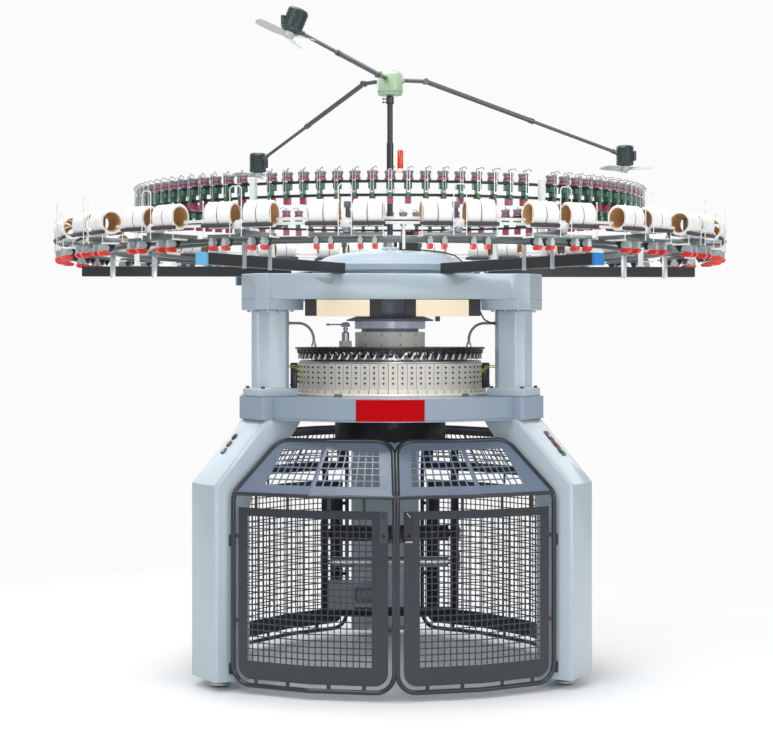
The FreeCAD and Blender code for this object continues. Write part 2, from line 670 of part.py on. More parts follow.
def make_hose(angle):
    """A hose from a column's inner face, over in one bend and down into the guide plate."""
    drop = HOSE_HEIGHT - HOSE_BEND
    stations = [(COLUMN_RADIUS - COLUMN_WIDTH / 2, HOSE_HEIGHT, 0.0)]
    for i in range(HOSE_STEPS + 1):
        turn = math.radians(90.0 * i / HOSE_STEPS)
        x = HOSE_LANDING_RADIUS + HOSE_BEND * (1 - math.sin(turn))
        stations.append((x, drop + HOSE_BEND * math.cos(turn), turn))
    stations.append((HOSE_LANDING_RADIUS, GUIDE_PLATE_TOP, math.pi / 2))
    outlines = []
    for x, z, turn in stations:
        outline = []
        for corner in range(6):
            side = HOSE_RADIUS * math.cos(math.pi * corner / 3)
            rise = HOSE_RADIUS * math.sin(math.pi * corner / 3)
            outline.append(V(x - rise * math.sin(turn), side, z + rise * math.cos(turn)))
        outlines.append(outline)
    runs = [tapered(outlines[i], outlines[i + 1]) for i in range(len(outlines) - 1)]
    return turned(joined(*runs), angle)


def make_side_blocks():
    """The drive housings at the left and right of the cam ring."""
    half = SIDE_BLOCK_WIDTH / 2
    start = CAM_OUTER_RADIUS + SIDE_BLOCK_GAP
    top = BASE_RING_TOP + CAM_HEIGHT
    return around(box(start, start + SIDE_BLOCK_DEPTH, -half, half, BASE_RING_TOP, top), (0.0, 180.0))


# ---- take-down --------------------------------------------------------------------------
def make_takedown_frame():
    """A ring hung from the drive gear, and two side arms tied together at the bottom."""
    hanger = ring(FRAME_RING_RADIUS, FRAME_RING_BORE, FRAME_RING_BOTTOM, GEAR_BOTTOM, SMALL_SIDES)
    outer = FRAME_SPAN / 2
    profile = [
        (FRAME_RING_BORE, FRAME_RING_BOTTOM),
        (outer, FRAME_RING_BOTTOM),
        (outer, FRAME_BOTTOM),
        (FRAME_INNER, FRAME_BOTTOM),
        (FRAME_INNER, FRAME_RING_BOTTOM - FRAME_HEAD_HEIGHT),
        (FRAME_RING_BORE, FRAME_RING_BOTTOM - FRAME_HEAD_HEIGHT),
    ]
    arm = radial_slab(profile, FRAME_ARM_WIDTH)
    half = TIE_WIDTH / 2
    tie = box(-FRAME_INNER, FRAME_INNER, -half, half, FRAME_BOTTOM, FRAME_BOTTOM + TIE_HEIGHT)
    return joined(hanger, arm, turned(arm, 180), tie)


def make_roller(y, z, radius):
    """A take-down roller between the side arms."""
    reach = FRAME_INNER - RUNNING_GAP
    return rod(V(-reach, y, z), V(reach, y, z), radius, 12)


def make_gearbox():
    """The roller drive on the frame's tie bar."""
    bottom = FRAME_BOTTOM + TIE_HEIGHT
    half = GEARBOX_WIDTH / 2
    end = GEARBOX_LENGTH - FRAME_INNER
    case = box(-FRAME_INNER, end, -half, half, bottom, bottom + GEARBOX_HEIGHT)
    start = V(end, 0, bottom + GEARBOX_HEIGHT / 2)
    motor = rod(start, start + V(GEARBOX_LENGTH, 0, 0), GEARBOX_MOTOR_RADIUS, 12)
    return [case, motor]


# ---- guards -----------------------------------------------------------------------------
def offset_line(points, distance):
    """A plan polyline moved sideways, with mitred corners."""
    moved = []
    for i, point in enumerate(points):
        before = (point - points[i - 1]).normalize() if i else None
        after = (points[i + 1] - point).normalize() if i < len(points) - 1 else None
        first = before or after
        second = after or before
        normals = [V(d.y, -d.x, 0) for d in (first, second)]
        bisector = (normals[0] + normals[1]).normalize()
        moved.append(point + bisector * (distance / bisector.dot(normals[0])))
    return moved


def band_outline(points, width, z):
    """Closed outline of a strip of the given width along a plan polyline."""
    outer = offset_line(points, width / 2)
    inner = offset_line(points, -width / 2)
    return [V(p.x, p.y, z) for p in outer + inner[::-1]]


def bowed_line(meeting, hinge):
    """Plan centre line of a guard: its two ends and the fold between them."""
    chord = hinge - meeting
    outward = V(chord.y, -chord.x, 0).normalize()
    middle = (meeting + hinge) / 2
    if outward.dot(middle) < 0:
        outward = outward * -1
    return [meeting, middle + outward * GUARD_BOW, hinge]


def guard_lines(sector_angle, leg_name, side):
    """Plan centre lines of one guard at its fold and at its top edge, meeting end first.

    `side` is +1 when the leg is counter-clockwise of the sector's middle and -1 otherwise.
    """
    clear = LEG_WIDTHS[leg_name] / 2 + DOOR_TO_LEG + GUARD_TUBE / 2
    along = polar(1, LEG_ANGLES[leg_name])
    across = polar(1, LEG_ANGLES[leg_name] - 90 * side)
    hinge = along * GUARD_HINGE_RADIUS + across * clear
    shift = polar(MEETING_GAP / 2, sector_angle + 90 * side)
    fold = bowed_line(polar(GUARD_MIDDLE_RADIUS, sector_angle) + shift, hinge)
    top = [point * GUARD_TOP_SHARE for point in fold]
    top[0] = polar(GUARD_MIDDLE_RADIUS * GUARD_TOP_SHARE, sector_angle) + shift
    run = top[2] - top[1]
    share = (clear + GUARD_TOP_INSET - top[1].dot(across)) / run.dot(across)
    top[2] = top[1] + run * share
    return fold, top


def rear_guard_lines(sector_angle, first_leg, last_leg):
    """Plan centre lines of a guard that spans a whole sector, from one leg to the next."""
    first_fold, first_top = guard_lines(sector_angle, first_leg, -1)
    last_fold, last_top = guard_lines(sector_angle, last_leg, 1)
    middle = polar(GUARD_MIDDLE_RADIUS, sector_angle)
    fold = [first_fold[2], first_fold[1], middle, last_fold[1], last_fold[2]]
    top = [first_top[2], first_top[1], middle * GUARD_TOP_SHARE, last_top[1], last_top[2]]
    return fold, top


def wall_holes(start, end, z0, z1, columns, rows, bar):
    """Cutters for a grid of openings through the wall between two plan points."""
    along = (end - start).normalize()
    normal = V(along.y, -along.x, 0)
    length = (end - start).Length
    wide = (length - bar * (columns - 1)) / columns
    tall = (z1 - z0 - bar * (rows - 1)) / rows
    cutters = []
    for column in range(columns):
        for row in range(rows):
            corner = start + along * (column * (wide + bar)) - normal * CUTTER_REACH
            base = V(corner.x, corner.y, z0 + row * (tall + bar))
            outline = [base, base + along * wide, base + along * wide + UP * tall, base + UP * tall]
            cutters.append(prism(outline, normal * 2 * CUTTER_REACH))
    return cutters


def sloped_band(fold, top, width):
    """The bent-in wall of a guard, between its fold and its top edge."""
    low = band_outline(fold, width, GUARD_FOLD_HEIGHT + GUARD_TUBE / 2)
    high = band_outline(top, width, GUARD_TOP - GUARD_TUBE / 2)
    return tapered(low, high)


def pierced(wall, line, z0, z1, columns, rows, margin):
    """A wall with a grid of openings in each of its facets."""
    for i in range(len(line) - 1):
        run = (line[i + 1] - line[i]).normalize()
        first = line[i] + run * (margin if i == 0 else MESH_BAR)
        last = line[i + 1] - run * (margin if i == len(line) - 2 else MESH_BAR)
        for hole in wall_holes(first, last, z0, z1, columns, rows, MESH_BAR):
            wall = wall.cut(hole)
    return wall


def side_rails(fold, top, last):
    """The upright and the leaning rail at one end of a guard."""
    tube = GUARD_TUBE
    start, turn = (-1, -2) if last else (0, 1)
    run = (fold[turn] - fold[start]).normalize()
    outlines = []
    rail_ends = ((fold, GUARD_BOTTOM), (fold, GUARD_FOLD_HEIGHT), (top, GUARD_TOP - tube))
    for line, z in rail_ends:
        outlines.append(band_outline([line[start], line[start] + run * tube], tube, z))
    upright = prism(outlines[0], V(0, 0, GUARD_FOLD_HEIGHT - GUARD_BOTTOM))
    return [upright, tapered(outlines[1], [point + UP * tube for point in outlines[2]])]


def make_guard(fold, top, lugs, columns, rows):
    """One hinged guard: a frame with a sheet in it, bent inwards above the fold."""
    tube = GUARD_TUBE
    half = tube / 2
    pieces = side_rails(fold, top, False) + side_rails(fold, top, True)
    for line, z in ((fold, GUARD_BOTTOM), (fold, GUARD_FOLD_HEIGHT), (top, GUARD_TOP - tube)):
        pieces.append(prism(band_outline(line, tube, z), V(0, 0, tube)))
    lower_outline = band_outline(fold, GUARD_SHEET, GUARD_BOTTOM + half)
    lower = prism(lower_outline, V(0, 0, GUARD_FOLD_HEIGHT - GUARD_BOTTOM))
    low = GUARD_BOTTOM + MESH_BOTTOM_MARGIN
    high = GUARD_FOLD_HEIGHT - MESH_TOP_MARGIN
    lower = pierced(lower, fold, low, high, columns, rows, MESH_MARGIN)
    low = GUARD_FOLD_HEIGHT + SLOPE_MESH_MARGIN
    high = GUARD_TOP - SLOPE_MESH_MARGIN
    upper = pierced(sloped_band(fold, top, GUARD_SHEET), top, low, high, columns, 1, MESH_MARGIN)
    return joined(*pieces, lower, upper, *lugs)


def hinge_boxes(leg_name, side, width, near, far, lift, tall):
    """Boxes at each hinge height beside a leg; `near` and `far` count from the hinge's axis."""
    axis = LEG_WIDTHS[leg_name] / 2 + DOOR_TO_LEG + GUARD_TUBE / 2
    half = width / 2
    shapes = []
    for z in HINGE_HEIGHTS:
        low = GUARD_HINGE_RADIUS - half
        shape = box(low, low + width, axis + near, axis + far, z + lift, z + lift + tall)
        if side > 0:
            shape = shape.mirror(V(0, 0, 0), V(0, 1, 0))
        shapes.append(turned(shape, LEG_ANGLES[leg_name]))
    return shapes


def make_hinge_blocks(leg_name, side):
    """The hinge blocks on a leg's side, which the guard's lugs rest on."""
    reach = -DOOR_TO_LEG - GUARD_TUBE / 2
    end = -GUARD_TUBE / 2 - RUNNING_GAP
    return hinge_boxes(leg_name, side, HINGE_BLOCK_WIDTH, reach, end, -HINGE_BLOCK_TALL, HINGE_BLOCK_TALL)


def make_hinge_lugs(leg_name, side):
    """The lugs on a guard's hinge end, each just over its block."""
    end = -GUARD_TUBE / 2 - HINGE_LUG_LAP
    return hinge_boxes(leg_name, side, HINGE_LUG_WIDTH, end, HINGE_LUG_ROOT, RUNNING_GAP, HINGE_LUG_TALL)


def make_latch(side):
    """A latch paddle on a front guard's sheet, beside the meeting edge."""
    leg_name = "leg_right" if side > 0 else "leg_left"
    fold, _ = guard_lines(270.0, leg_name, side)
    run = (fold[1] - fold[0]).normalize()
    outward = V(run.y, -run.x, 0)
    if outward.y > 0:
        outward = outward * -1
    start = fold[0] + run * (GUARD_TUBE + LATCH_INSET) + outward * (GUARD_SHEET / 2 + RUNNING_GAP)
    base = V(start.x, start.y, GUARD_FOLD_HEIGHT - LATCH_DROP - LATCH_TALL)
    outline = [
        base,
        base + run * LATCH_WIDTH,
        base + run * LATCH_WIDTH + outward * LATCH_THICKNESS,
        base + outward * LATCH_THICKNESS,
    ]
    return prism(outline, V(0, 0, LATCH_TALL))


# ---- yarn creel -------------------------------------------------------------------------
def arm_angles():
    """Plan angles of the creel arms."""
    return [360.0 * i / ARM_COUNT for i in range(ARM_COUNT)]


def arm_end(angle):
    """The two arms that point sideways are shorter."""
    return SIDE_ARM_END if angle in (0.0, 180.0) else LONG_ARM_END


def make_arms():
    """The black box-section arms on the crown."""
    half = ARM_SIZE / 2
    arms = []
    for angle in arm_angles():
        arms.append(turned(box(ARM_START, arm_end(angle), -half, half, CROWN_TOP, ARM_TOP), angle))
    return arms


def make_arm_caps():
    """The end caps of the four long arms."""
    half = ARM_SIZE / 2
    cap = box(LONG_ARM_END, LONG_ARM_END + CAP_LENGTH, -half, half, CROWN_TOP, ARM_TOP)
    return around(cap, [a for a in arm_angles() if arm_end(a) == LONG_ARM_END])


def make_hangers():
    """Straps on the front-facing sides of the arms, which hold the creel rings up."""
    half = STRAP_WIDTH / 2
    near = ARM_SIZE / 2
    far = near + STRAP_THICKNESS
    straps = []
    for radius in RING_RADII:
        for angle in arm_angles():
            span = (-far, -near) if math.cos(math.radians(angle)) > 0 else (near, far)
            strap = box(radius - half, radius + half, *span, CROWN_TOP - STRAP_DROP, RING_BOTTOM)
            straps.append(turned(strap, angle))
    return straps


def make_feeder_posts():
    """The posts on the arms that carry the feeder rings."""
    inner = FEEDER_RADIUS + FEEDER_RING_WIDTH / 2
    half = POST_SIZE / 2
    post = box(inner, inner + POST_SIZE, -half, half, ARM_TOP, FEEDER_RING_TOP + POST_RISE)
    return around(post, arm_angles())


def feeder_angles():
    """Plan angles of the yarn feeders: every place but the one at each arm."""
    step = 360.0 / ARM_COUNT / FEEDER_PLACES
    return [i * step for i in range(ARM_COUNT * FEEDER_PLACES) if i % FEEDER_PLACES]


def make_feeder_bodies():
    """The feeder housings between the two feeder rings."""
    inner = FEEDER_RADIUS - FEEDER_BODY_DEPTH / 2
    outer = FEEDER_RADIUS + FEEDER_BODY_DEPTH / 2
    half = FEEDER_BODY_WIDTH / 2
    body = box(inner, outer, -half, half, FEEDER_BODY_BOTTOM, FEEDER_BODY_TOP)
    return around(body, feeder_angles())


def make_feeder_reels():
    """The storage wheels on top of the upper feeder ring."""
    start = V(FEEDER_RADIUS, 0, FEEDER_RING_TOP)
    return around(rod(start, start + UP * REEL_HEIGHT, REEL_RADIUS, 6), feeder_angles())


# ---- roller units -----------------------------------------------------------------------
def unit_angles():
    """Plan angles of the roller units; the front of the machine lies between two of them."""
    step = 360.0 / UNIT_COUNT
    return [270.0 + step * (i + 0.5) for i in range(UNIT_COUNT)]


def make_bracket_bars():
    """Radial bars from the outer creel ring out under each unit."""
    start = RING_RADII[1] - RING_WIDTH / 2 - 8
    end = UNIT_RADIUS + BRACKET_BAR_OVERHANG
    half = BRACKET_BAR_WIDTH / 2
    return around(box(start, end, -half, half, RING_TOP, BAR_TOP), unit_angles())


def make_unit_rails():
    """Rails across the bars, which carry the stop sensors."""
    half = RAIL_WIDTH / 2
    long = RAIL_LENGTH / 2
    rail = box(UNIT_RADIUS - half, UNIT_RADIUS + half, -long, long, RING_TOP - RAIL_HEIGHT, RING_TOP)
    return around(rail, unit_angles())


def make_gear_boxes():
    """The small gear box between each unit's two drive rollers."""
    half = DRIVE_SPACING / 2 - DRIVE_RADIUS / math.cos(math.pi / 6) - RUNNING_GAP
    long = GEAR_BOX_LENGTH / 2
    case = box(UNIT_RADIUS - half, UNIT_RADIUS + half, -long, long, BAR_TOP, BAR_TOP + GEAR_BOX_HEIGHT)
    return around(case, unit_angles())


def make_drive_rollers():
    """Two drive rollers in each unit, each with a flat towards the yarn rolls."""
    rollers = []
    for side in (-1, 1):
        radius = UNIT_RADIUS + side * DRIVE_SPACING / 2
        start = V(radius, -DRIVE_LENGTH / 2, DRIVE_AXIS_HEIGHT)
        roller = rod(start, start + V(0, DRIVE_LENGTH, 0), DRIVE_RADIUS, 6, side * ROLL_ANGLE)
        rollers += around(roller, unit_angles())
    return rollers


def make_yarn_rolls():
    """Two pairs of elastic-yarn rolls lying on each unit's drive rollers."""
    rolls = []
    for side in (-1, 1):
        start = V(UNIT_RADIUS, side * ROLL_SPACING / 2 - ROLL_LENGTH / 2, ROLL_AXIS_HEIGHT)
        rolls += around(rod(start, start + V(0, ROLL_LENGTH, 0), ROLL_RADIUS, ROLL_SIDES), unit_angles())
    return rolls


def make_stop_sensors():
    """A yarn stop sensor under each roll, with its bill pointing outwards."""
    top = RING_TOP - RAIL_HEIGHT
    inner = UNIT_RADIUS - SENSOR_DEPTH * 0.45
    outer = inner + SENSOR_DEPTH
    profile = [(inner, top), (outer, top), (outer - SENSOR_DEPTH * 0.2, top - SENSOR_HEIGHT)]
    sensors = []
    for pair in (-1, 1):
        for roll in (-1, 1):
            sensor = radial_slab(profile, SENSOR_WIDTH)
            sensor.translate(V(0, pair * ROLL_SPACING / 2 + roll * SENSOR_SPACING / 2, 0))
            sensors += around(sensor, unit_angles())
    return sensors


# ---- fan mast ---------------------------------------------------------------------------
def make_mast():
    """The mast tube with its thicker sleeve."""
    lower = rod(V(0, 0, MAST_FOOT), V(0, 0, SLEEVE_BOTTOM), MAST_RADIUS, 10)
    sleeve = rod(V(0, 0, SLEEVE_BOTTOM), V(0, 0, SLEEVE_TOP), SLEEVE_RADIUS, 10)
    upper = rod(V(0, 0, SLEEVE_TOP), V(0, 0, MAST_TOP), MAST_RADIUS, 10)
    return joined(lower, sleeve, upper)


def make_mast_base():
    """The mast's foot block and the drive motor beside it."""
    half = MAST_BASE_WIDTH / 2
    foot = box(-half, half, -half, half, DOME_TOP, MAST_FOOT)
    side = MAST_MOTOR_WIDTH / 2
    motor = box(half, half + MAST_MOTOR_LENGTH, -side, side, DOME_TOP, DOME_TOP + MAST_MOTOR_HEIGHT)
    return joined(foot, motor)


def make_fan_hub():
    """The turning head with its three stubs."""
    drum = disc(FAN_HUB_RADIUS, FAN_HUB_BOTTOM, FAN_HUB_TOP, 12)
    stubs = []
    for angle, *_ in FANS.values():
        start = polar(FAN_HUB_RADIUS - 8, angle, FAN_ARM_HEIGHT)
        end = polar(ELBOW_DISTANCE - ELBOW_RADIUS - RUNNING_GAP, angle, FAN_ARM_HEIGHT)
        stubs.append(rod(start, end, STUB_RADIUS, 8))
    return joined(drum, *stubs)


def fan_axes(name):
    """The elbow's place, the motor's centre and the unit vector down the motor's shaft."""
    angle, radius, drop, tilt, lean, _, _ = FANS[name]
    elbow = polar(ELBOW_DISTANCE, angle, FAN_ARM_HEIGHT)
    down = polar(math.sin(math.radians(tilt)), lean, -math.cos(math.radians(tilt)))
    return elbow, polar(radius, angle, FAN_ARM_HEIGHT - drop), down


def make_fan_arm(name):
    """A telescopic fan arm from the elbow's eye to the side of its motor."""
    elbow, centre, down = fan_axes(name)
    start = V(ELBOW_DISTANCE, -ELBOW_WIDTH / 2, FAN_ARM_HEIGHT)
    flats = ELBOW_RADIUS * math.cos(math.pi / 8)
    eye = turned(rod(start, start + V(0, ELBOW_WIDTH, 0), flats, 8, 22.5), FANS[name][0])
    _, _, _, _, lean, below, beside = FANS[name]
    meeting = centre + down * below - polar(beside, lean)
    run = (meeting - elbow).normalize()
    end = meeting - run * FAN_MOTOR_RADIUS * 0.8
    middle = elbow + (end - elbow) * FAN_SLEEVE_SHARE
    inner = rod(elbow, middle, FAN_SLEEVE_RADIUS, 6)
    outer = rod(middle, end, FAN_ARM_RADIUS, 6)
    half = down * (FAN_MOTOR_HEIGHT / 2)
    motor = rod(centre - half, centre + half, FAN_MOTOR_RADIUS, 12)
    return joined(eye, inner, outer, motor)


def make_fan_blades(name):
    """Three pitched blades on a small hub under the motor."""
    _, centre, down = fan_axes(name)
    top = FAN_MOTOR_HEIGHT / 2 + RUNNING_GAP
    hub = rod(V(0, 0, top), V(0, 0, top + FAN_NOSE_HEIGHT), FAN_NOSE_RADIUS, 8)
    tip = FAN_BLADE_WIDTH / 2
    root = tip / 2
    start = FAN_NOSE_RADIUS * 0.7
    corners = [(start, -root), (FAN_BLADE_REACH, -tip), (FAN_BLADE_REACH, tip), (start, root)]
    blade = plan_prism(corners, 0, FAN_BLADE_THICKNESS)
    blade.rotate(V(0, 0, 0), V(1, 0, 0), FAN_BLADE_PITCH)
    blade.translate(V(0, 0, top + FAN_NOSE_HEIGHT / 2))
    fan = joined(hub, *around(blade, (0.0, 120.0, 240.0)))
    turn = FreeCAD.Rotation(UP, down)
    fan.Placement = FreeCAD.Placement(centre, turn).multiply(fan.Placement)
    return fan


def make_lamp():
    """The red signal lamp."""
    start = V(LAMP_OFFSET, 0, LAMP_BOTTOM)
    return rod(start, start + UP * LAMP_HEIGHT, LAMP_RADIUS, 12)


def make_lamp_bracket():
    """The bracket that holds the lamp to the mast's sleeve."""
    half = LAMP_BRACKET_WIDTH / 2
    end = LAMP_OFFSET + LAMP_RADIUS
    return box(SLEEVE_RADIUS, end, -half, half, LAMP_BOTTOM - LAMP_BRACKET_HEIGHT, LAMP_BOTTOM)


# ---- the whole machine ------------------------------------------------------------------
def build():
    """Every node's solids by name."""
    nodes = {}
    for name in LEG_ANGLES:
        nodes[name] = [make_leg(name)]
    nodes["levelling_feet"] = make_feet()
    nodes["bed_plate"] = [make_bed()]
    nodes["columns"] = [make_column(angle) for angle in LEG_ANGLES.values()]
    nodes["crown"] = [make_crown()]
    nodes["crown_dome"] = [make_dome()]
    nodes["display_boxes"] = make_displays()

    nodes["drive_gear"] = [
        ring(GEAR_RADIUS, GEAR_BORE_RADIUS, GEAR_BOTTOM, GEAR_TOP, SMALL_SIDES)
    ]
    nodes["needle_cylinder"] = [make_cylinder()]
    nodes["cam_base_ring"] = [make_base_ring()]
    nodes["cam_boxes"] = make_cam_boxes()
    nodes["guide_plate"] = [disc(GUIDE_PLATE_RADIUS, GUIDE_PLATE_BOTTOM, GUIDE_PLATE_TOP)]
    nodes["yarn_guides"] = make_yarn_guides()
    nodes["dial"] = [make_dial()]
    nodes["dial_drum"] = [disc(DRUM_RADIUS, GUIDE_PLATE_TOP, DRUM_TOP, SMALL_SIDES)]
    nodes["dial_support"] = [make_dial_support()]
    nodes["dial_adjuster"] = [make_adjuster()]
    nodes["adjuster_handle"] = [make_adjuster_handle()]
    nodes["cam_side_blocks"] = make_side_blocks()
    nodes["oil_hoses"] = [make_hose(LEG_ANGLES[name]) for name in ("leg_left", "leg_right")]

    nodes["takedown_frame"] = [make_takedown_frame()]
    nip = NIP_ROLLER_RADIUS + NIP_GAP / 2
    nodes["takedown_roller_front"] = [make_roller(-nip, NIP_HEIGHT, NIP_ROLLER_RADIUS)]
    nodes["takedown_roller_rear"] = [make_roller(nip, NIP_HEIGHT, NIP_ROLLER_RADIUS)]
    nodes["cloth_roller"] = [make_roller(0, CLOTH_ROLLER_HEIGHT, CLOTH_ROLLER_RADIUS)]
    nodes["takedown_gearbox"] = make_gearbox()

    for name, side in (("right", 1), ("left", -1)):
        leg_name = "leg_" + name
        fold, top = guard_lines(270.0, leg_name, side)
        lugs = make_hinge_lugs(leg_name, side)
        nodes["guard_front_" + name] = [make_guard(fold, top, lugs, MESH_COLUMNS, MESH_ROWS)]
    fold, top = rear_guard_lines(30.0, "leg_right", "leg_rear")
    nodes["guard_rear_right"] = [make_guard(fold, top, make_hinge_lugs("leg_right", -1), 1, MESH_ROWS)]
    fold, top = rear_guard_lines(150.0, "leg_rear", "leg_left")
    nodes["guard_rear_left"] = [make_guard(fold, top, make_hinge_lugs("leg_left", 1), 1, MESH_ROWS)]
    hinge_places = (("leg_right", 1), ("leg_left", -1), ("leg_right", -1), ("leg_left", 1))
    nodes["guard_hinges"] = [block for place in hinge_places for block in make_hinge_blocks(*place)]
    nodes["latch_right"] = [make_latch(1)]
    nodes["latch_left"] = [make_latch(-1)]

    for side in ("left", "right"):
        for place, button in zip(("top", "middle", "bottom"), make_buttons("leg_" + side)):
            nodes["button_{}_{}".format(side, place)] = [button]

    nodes["creel_arms"] = make_arms() + make_arm_caps()
    nodes["ring_hangers"] = make_hangers()
    creel_rings = []
    for radius in RING_RADII:
        half = RING_WIDTH / 2
        creel_rings.append(ring(radius + half, radius - half, RING_BOTTOM, RING_TOP, CREEL_SIDES))
    nodes["creel_rings"] = creel_rings
    half = FEEDER_RING_WIDTH / 2
    nodes["feeder_rings"] = [
        ring(FEEDER_RADIUS + half, FEEDER_RADIUS - half, z, z + FEEDER_RING_THICKNESS, CREEL_SIDES)
        for z in (FEEDER_BODY_BOTTOM - FEEDER_RING_THICKNESS, FEEDER_BODY_TOP)
    ] + make_feeder_posts()
    nodes["feeder_bodies"] = make_feeder_bodies()
    nodes["feeder_reels"] = make_feeder_reels()

    nodes["unit_frames"] = make_bracket_bars() + make_unit_rails()
    nodes["unit_gear_boxes"] = make_gear_boxes()
    nodes["drive_rollers"] = make_drive_rollers()
    nodes["yarn_rolls"] = make_yarn_rolls()
    nodes["stop_sensors"] = make_stop_sensors()

    nodes["mast"] = [make_mast_base(), make_mast()]
    nodes["fan_hub"] = [make_fan_hub()]
    for name in FANS:
        nodes["fan_arm_" + name] = [make_fan_arm(name)]
        nodes["fan_blades_" + name] = [make_fan_blades(name)]
    nodes["signal_lamp"] = [make_lamp_bracket(), make_lamp()]
    return nodes


def main():
    """Write one file for each node."""
    os.makedirs("parts", exist_ok=True)
    for name, solids in build().items():
        shape = solids[0] if len(solids) == 1 else Part.makeCompound(solids)
        shape.exportStep("parts/{}.step".format(name))


main()
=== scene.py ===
"""Circular knitting machine: the shown pieces, built round the checked CAD frame.

Shapes are gathered in millimetres and turned into meshes in metres, in the frame's own place.
"""
import json
import math
from itertools import product

import bmesh
import bpy
from bpy.props import FloatProperty, FloatVectorProperty, IntProperty, PointerProperty
from mathutils import Matrix, Vector
from mathutils.geometry import tessellate_polygon

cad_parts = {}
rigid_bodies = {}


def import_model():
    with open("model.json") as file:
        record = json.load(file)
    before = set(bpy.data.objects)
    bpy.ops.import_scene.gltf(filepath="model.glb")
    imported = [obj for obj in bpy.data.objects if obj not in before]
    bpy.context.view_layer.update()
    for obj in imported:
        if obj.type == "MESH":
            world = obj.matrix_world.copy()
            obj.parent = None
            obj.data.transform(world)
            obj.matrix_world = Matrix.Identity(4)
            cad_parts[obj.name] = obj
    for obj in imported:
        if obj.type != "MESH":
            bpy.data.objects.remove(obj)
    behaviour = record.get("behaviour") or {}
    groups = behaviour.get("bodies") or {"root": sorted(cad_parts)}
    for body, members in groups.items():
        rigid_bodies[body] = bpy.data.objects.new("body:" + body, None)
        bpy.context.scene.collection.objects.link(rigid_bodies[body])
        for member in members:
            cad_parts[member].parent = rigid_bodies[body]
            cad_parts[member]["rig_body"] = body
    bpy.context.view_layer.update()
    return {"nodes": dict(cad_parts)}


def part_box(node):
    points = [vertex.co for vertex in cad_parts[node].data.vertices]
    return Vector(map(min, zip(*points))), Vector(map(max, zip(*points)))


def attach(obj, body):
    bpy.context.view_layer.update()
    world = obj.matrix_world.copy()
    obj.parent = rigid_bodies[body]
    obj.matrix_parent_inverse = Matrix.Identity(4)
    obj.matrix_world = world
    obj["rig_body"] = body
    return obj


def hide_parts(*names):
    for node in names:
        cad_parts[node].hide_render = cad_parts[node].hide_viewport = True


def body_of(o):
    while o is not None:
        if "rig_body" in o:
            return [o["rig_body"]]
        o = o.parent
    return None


bl_info = {
    "name": "Circular Knitting Machine",
    "version": (1, 0, 0),
    "blender": (4, 5, 0),
    "location": "3D View > Sidebar > Knitting machine",
    "description": "Builds the shown pieces of a circular knitting machine round its CAD frame",
    "category": "Add Mesh",
}

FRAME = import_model()
MM = 0.001
ROUND = 96                   # sides of the large turned pieces
WELD = 2e-6                  # corners nearer than this, in metres, become one
FLAT = math.radians(0.6)     # faces that meet at less than this become one


def srgb(red, green, blue):
    """A display colour of 0-255 parts as the linear colour a material takes."""
    parts = [part / 255 for part in (red, green, blue)]
    return tuple(p / 12.92 if p <= 0.04045 else ((p + 0.055) / 1.055) ** 2.4 for p in parts)


def polar(radius, angle, z=0.0):
    """A point at a plan radius and angle."""
    return Vector((radius * math.cos(math.radians(angle)), radius * math.sin(math.radians(angle)), z))


def turn_z(angle):
    """A turn about the machine's axis, in degrees."""
    return Matrix.Rotation(math.radians(angle), 4, "Z")


def aim(start, direction):
    """A placement at start whose Z axis runs along direction."""
    turn = Vector((0, 0, 1)).rotation_difference(Vector(direction))
    return Matrix.Translation(start) @ turn.to_matrix().to_4x4()


def facing(start, outward):
    """A placement at start whose Z axis runs outward and whose Y axis stays as upright as it can."""
    out = Vector(outward).normalized()
    across = Vector((0, 0, 1)).cross(out).normalized()
    up = out.cross(across)
    turn = Matrix((across, up, out)).transposed().to_4x4()
    return Matrix.Translation(start) @ turn


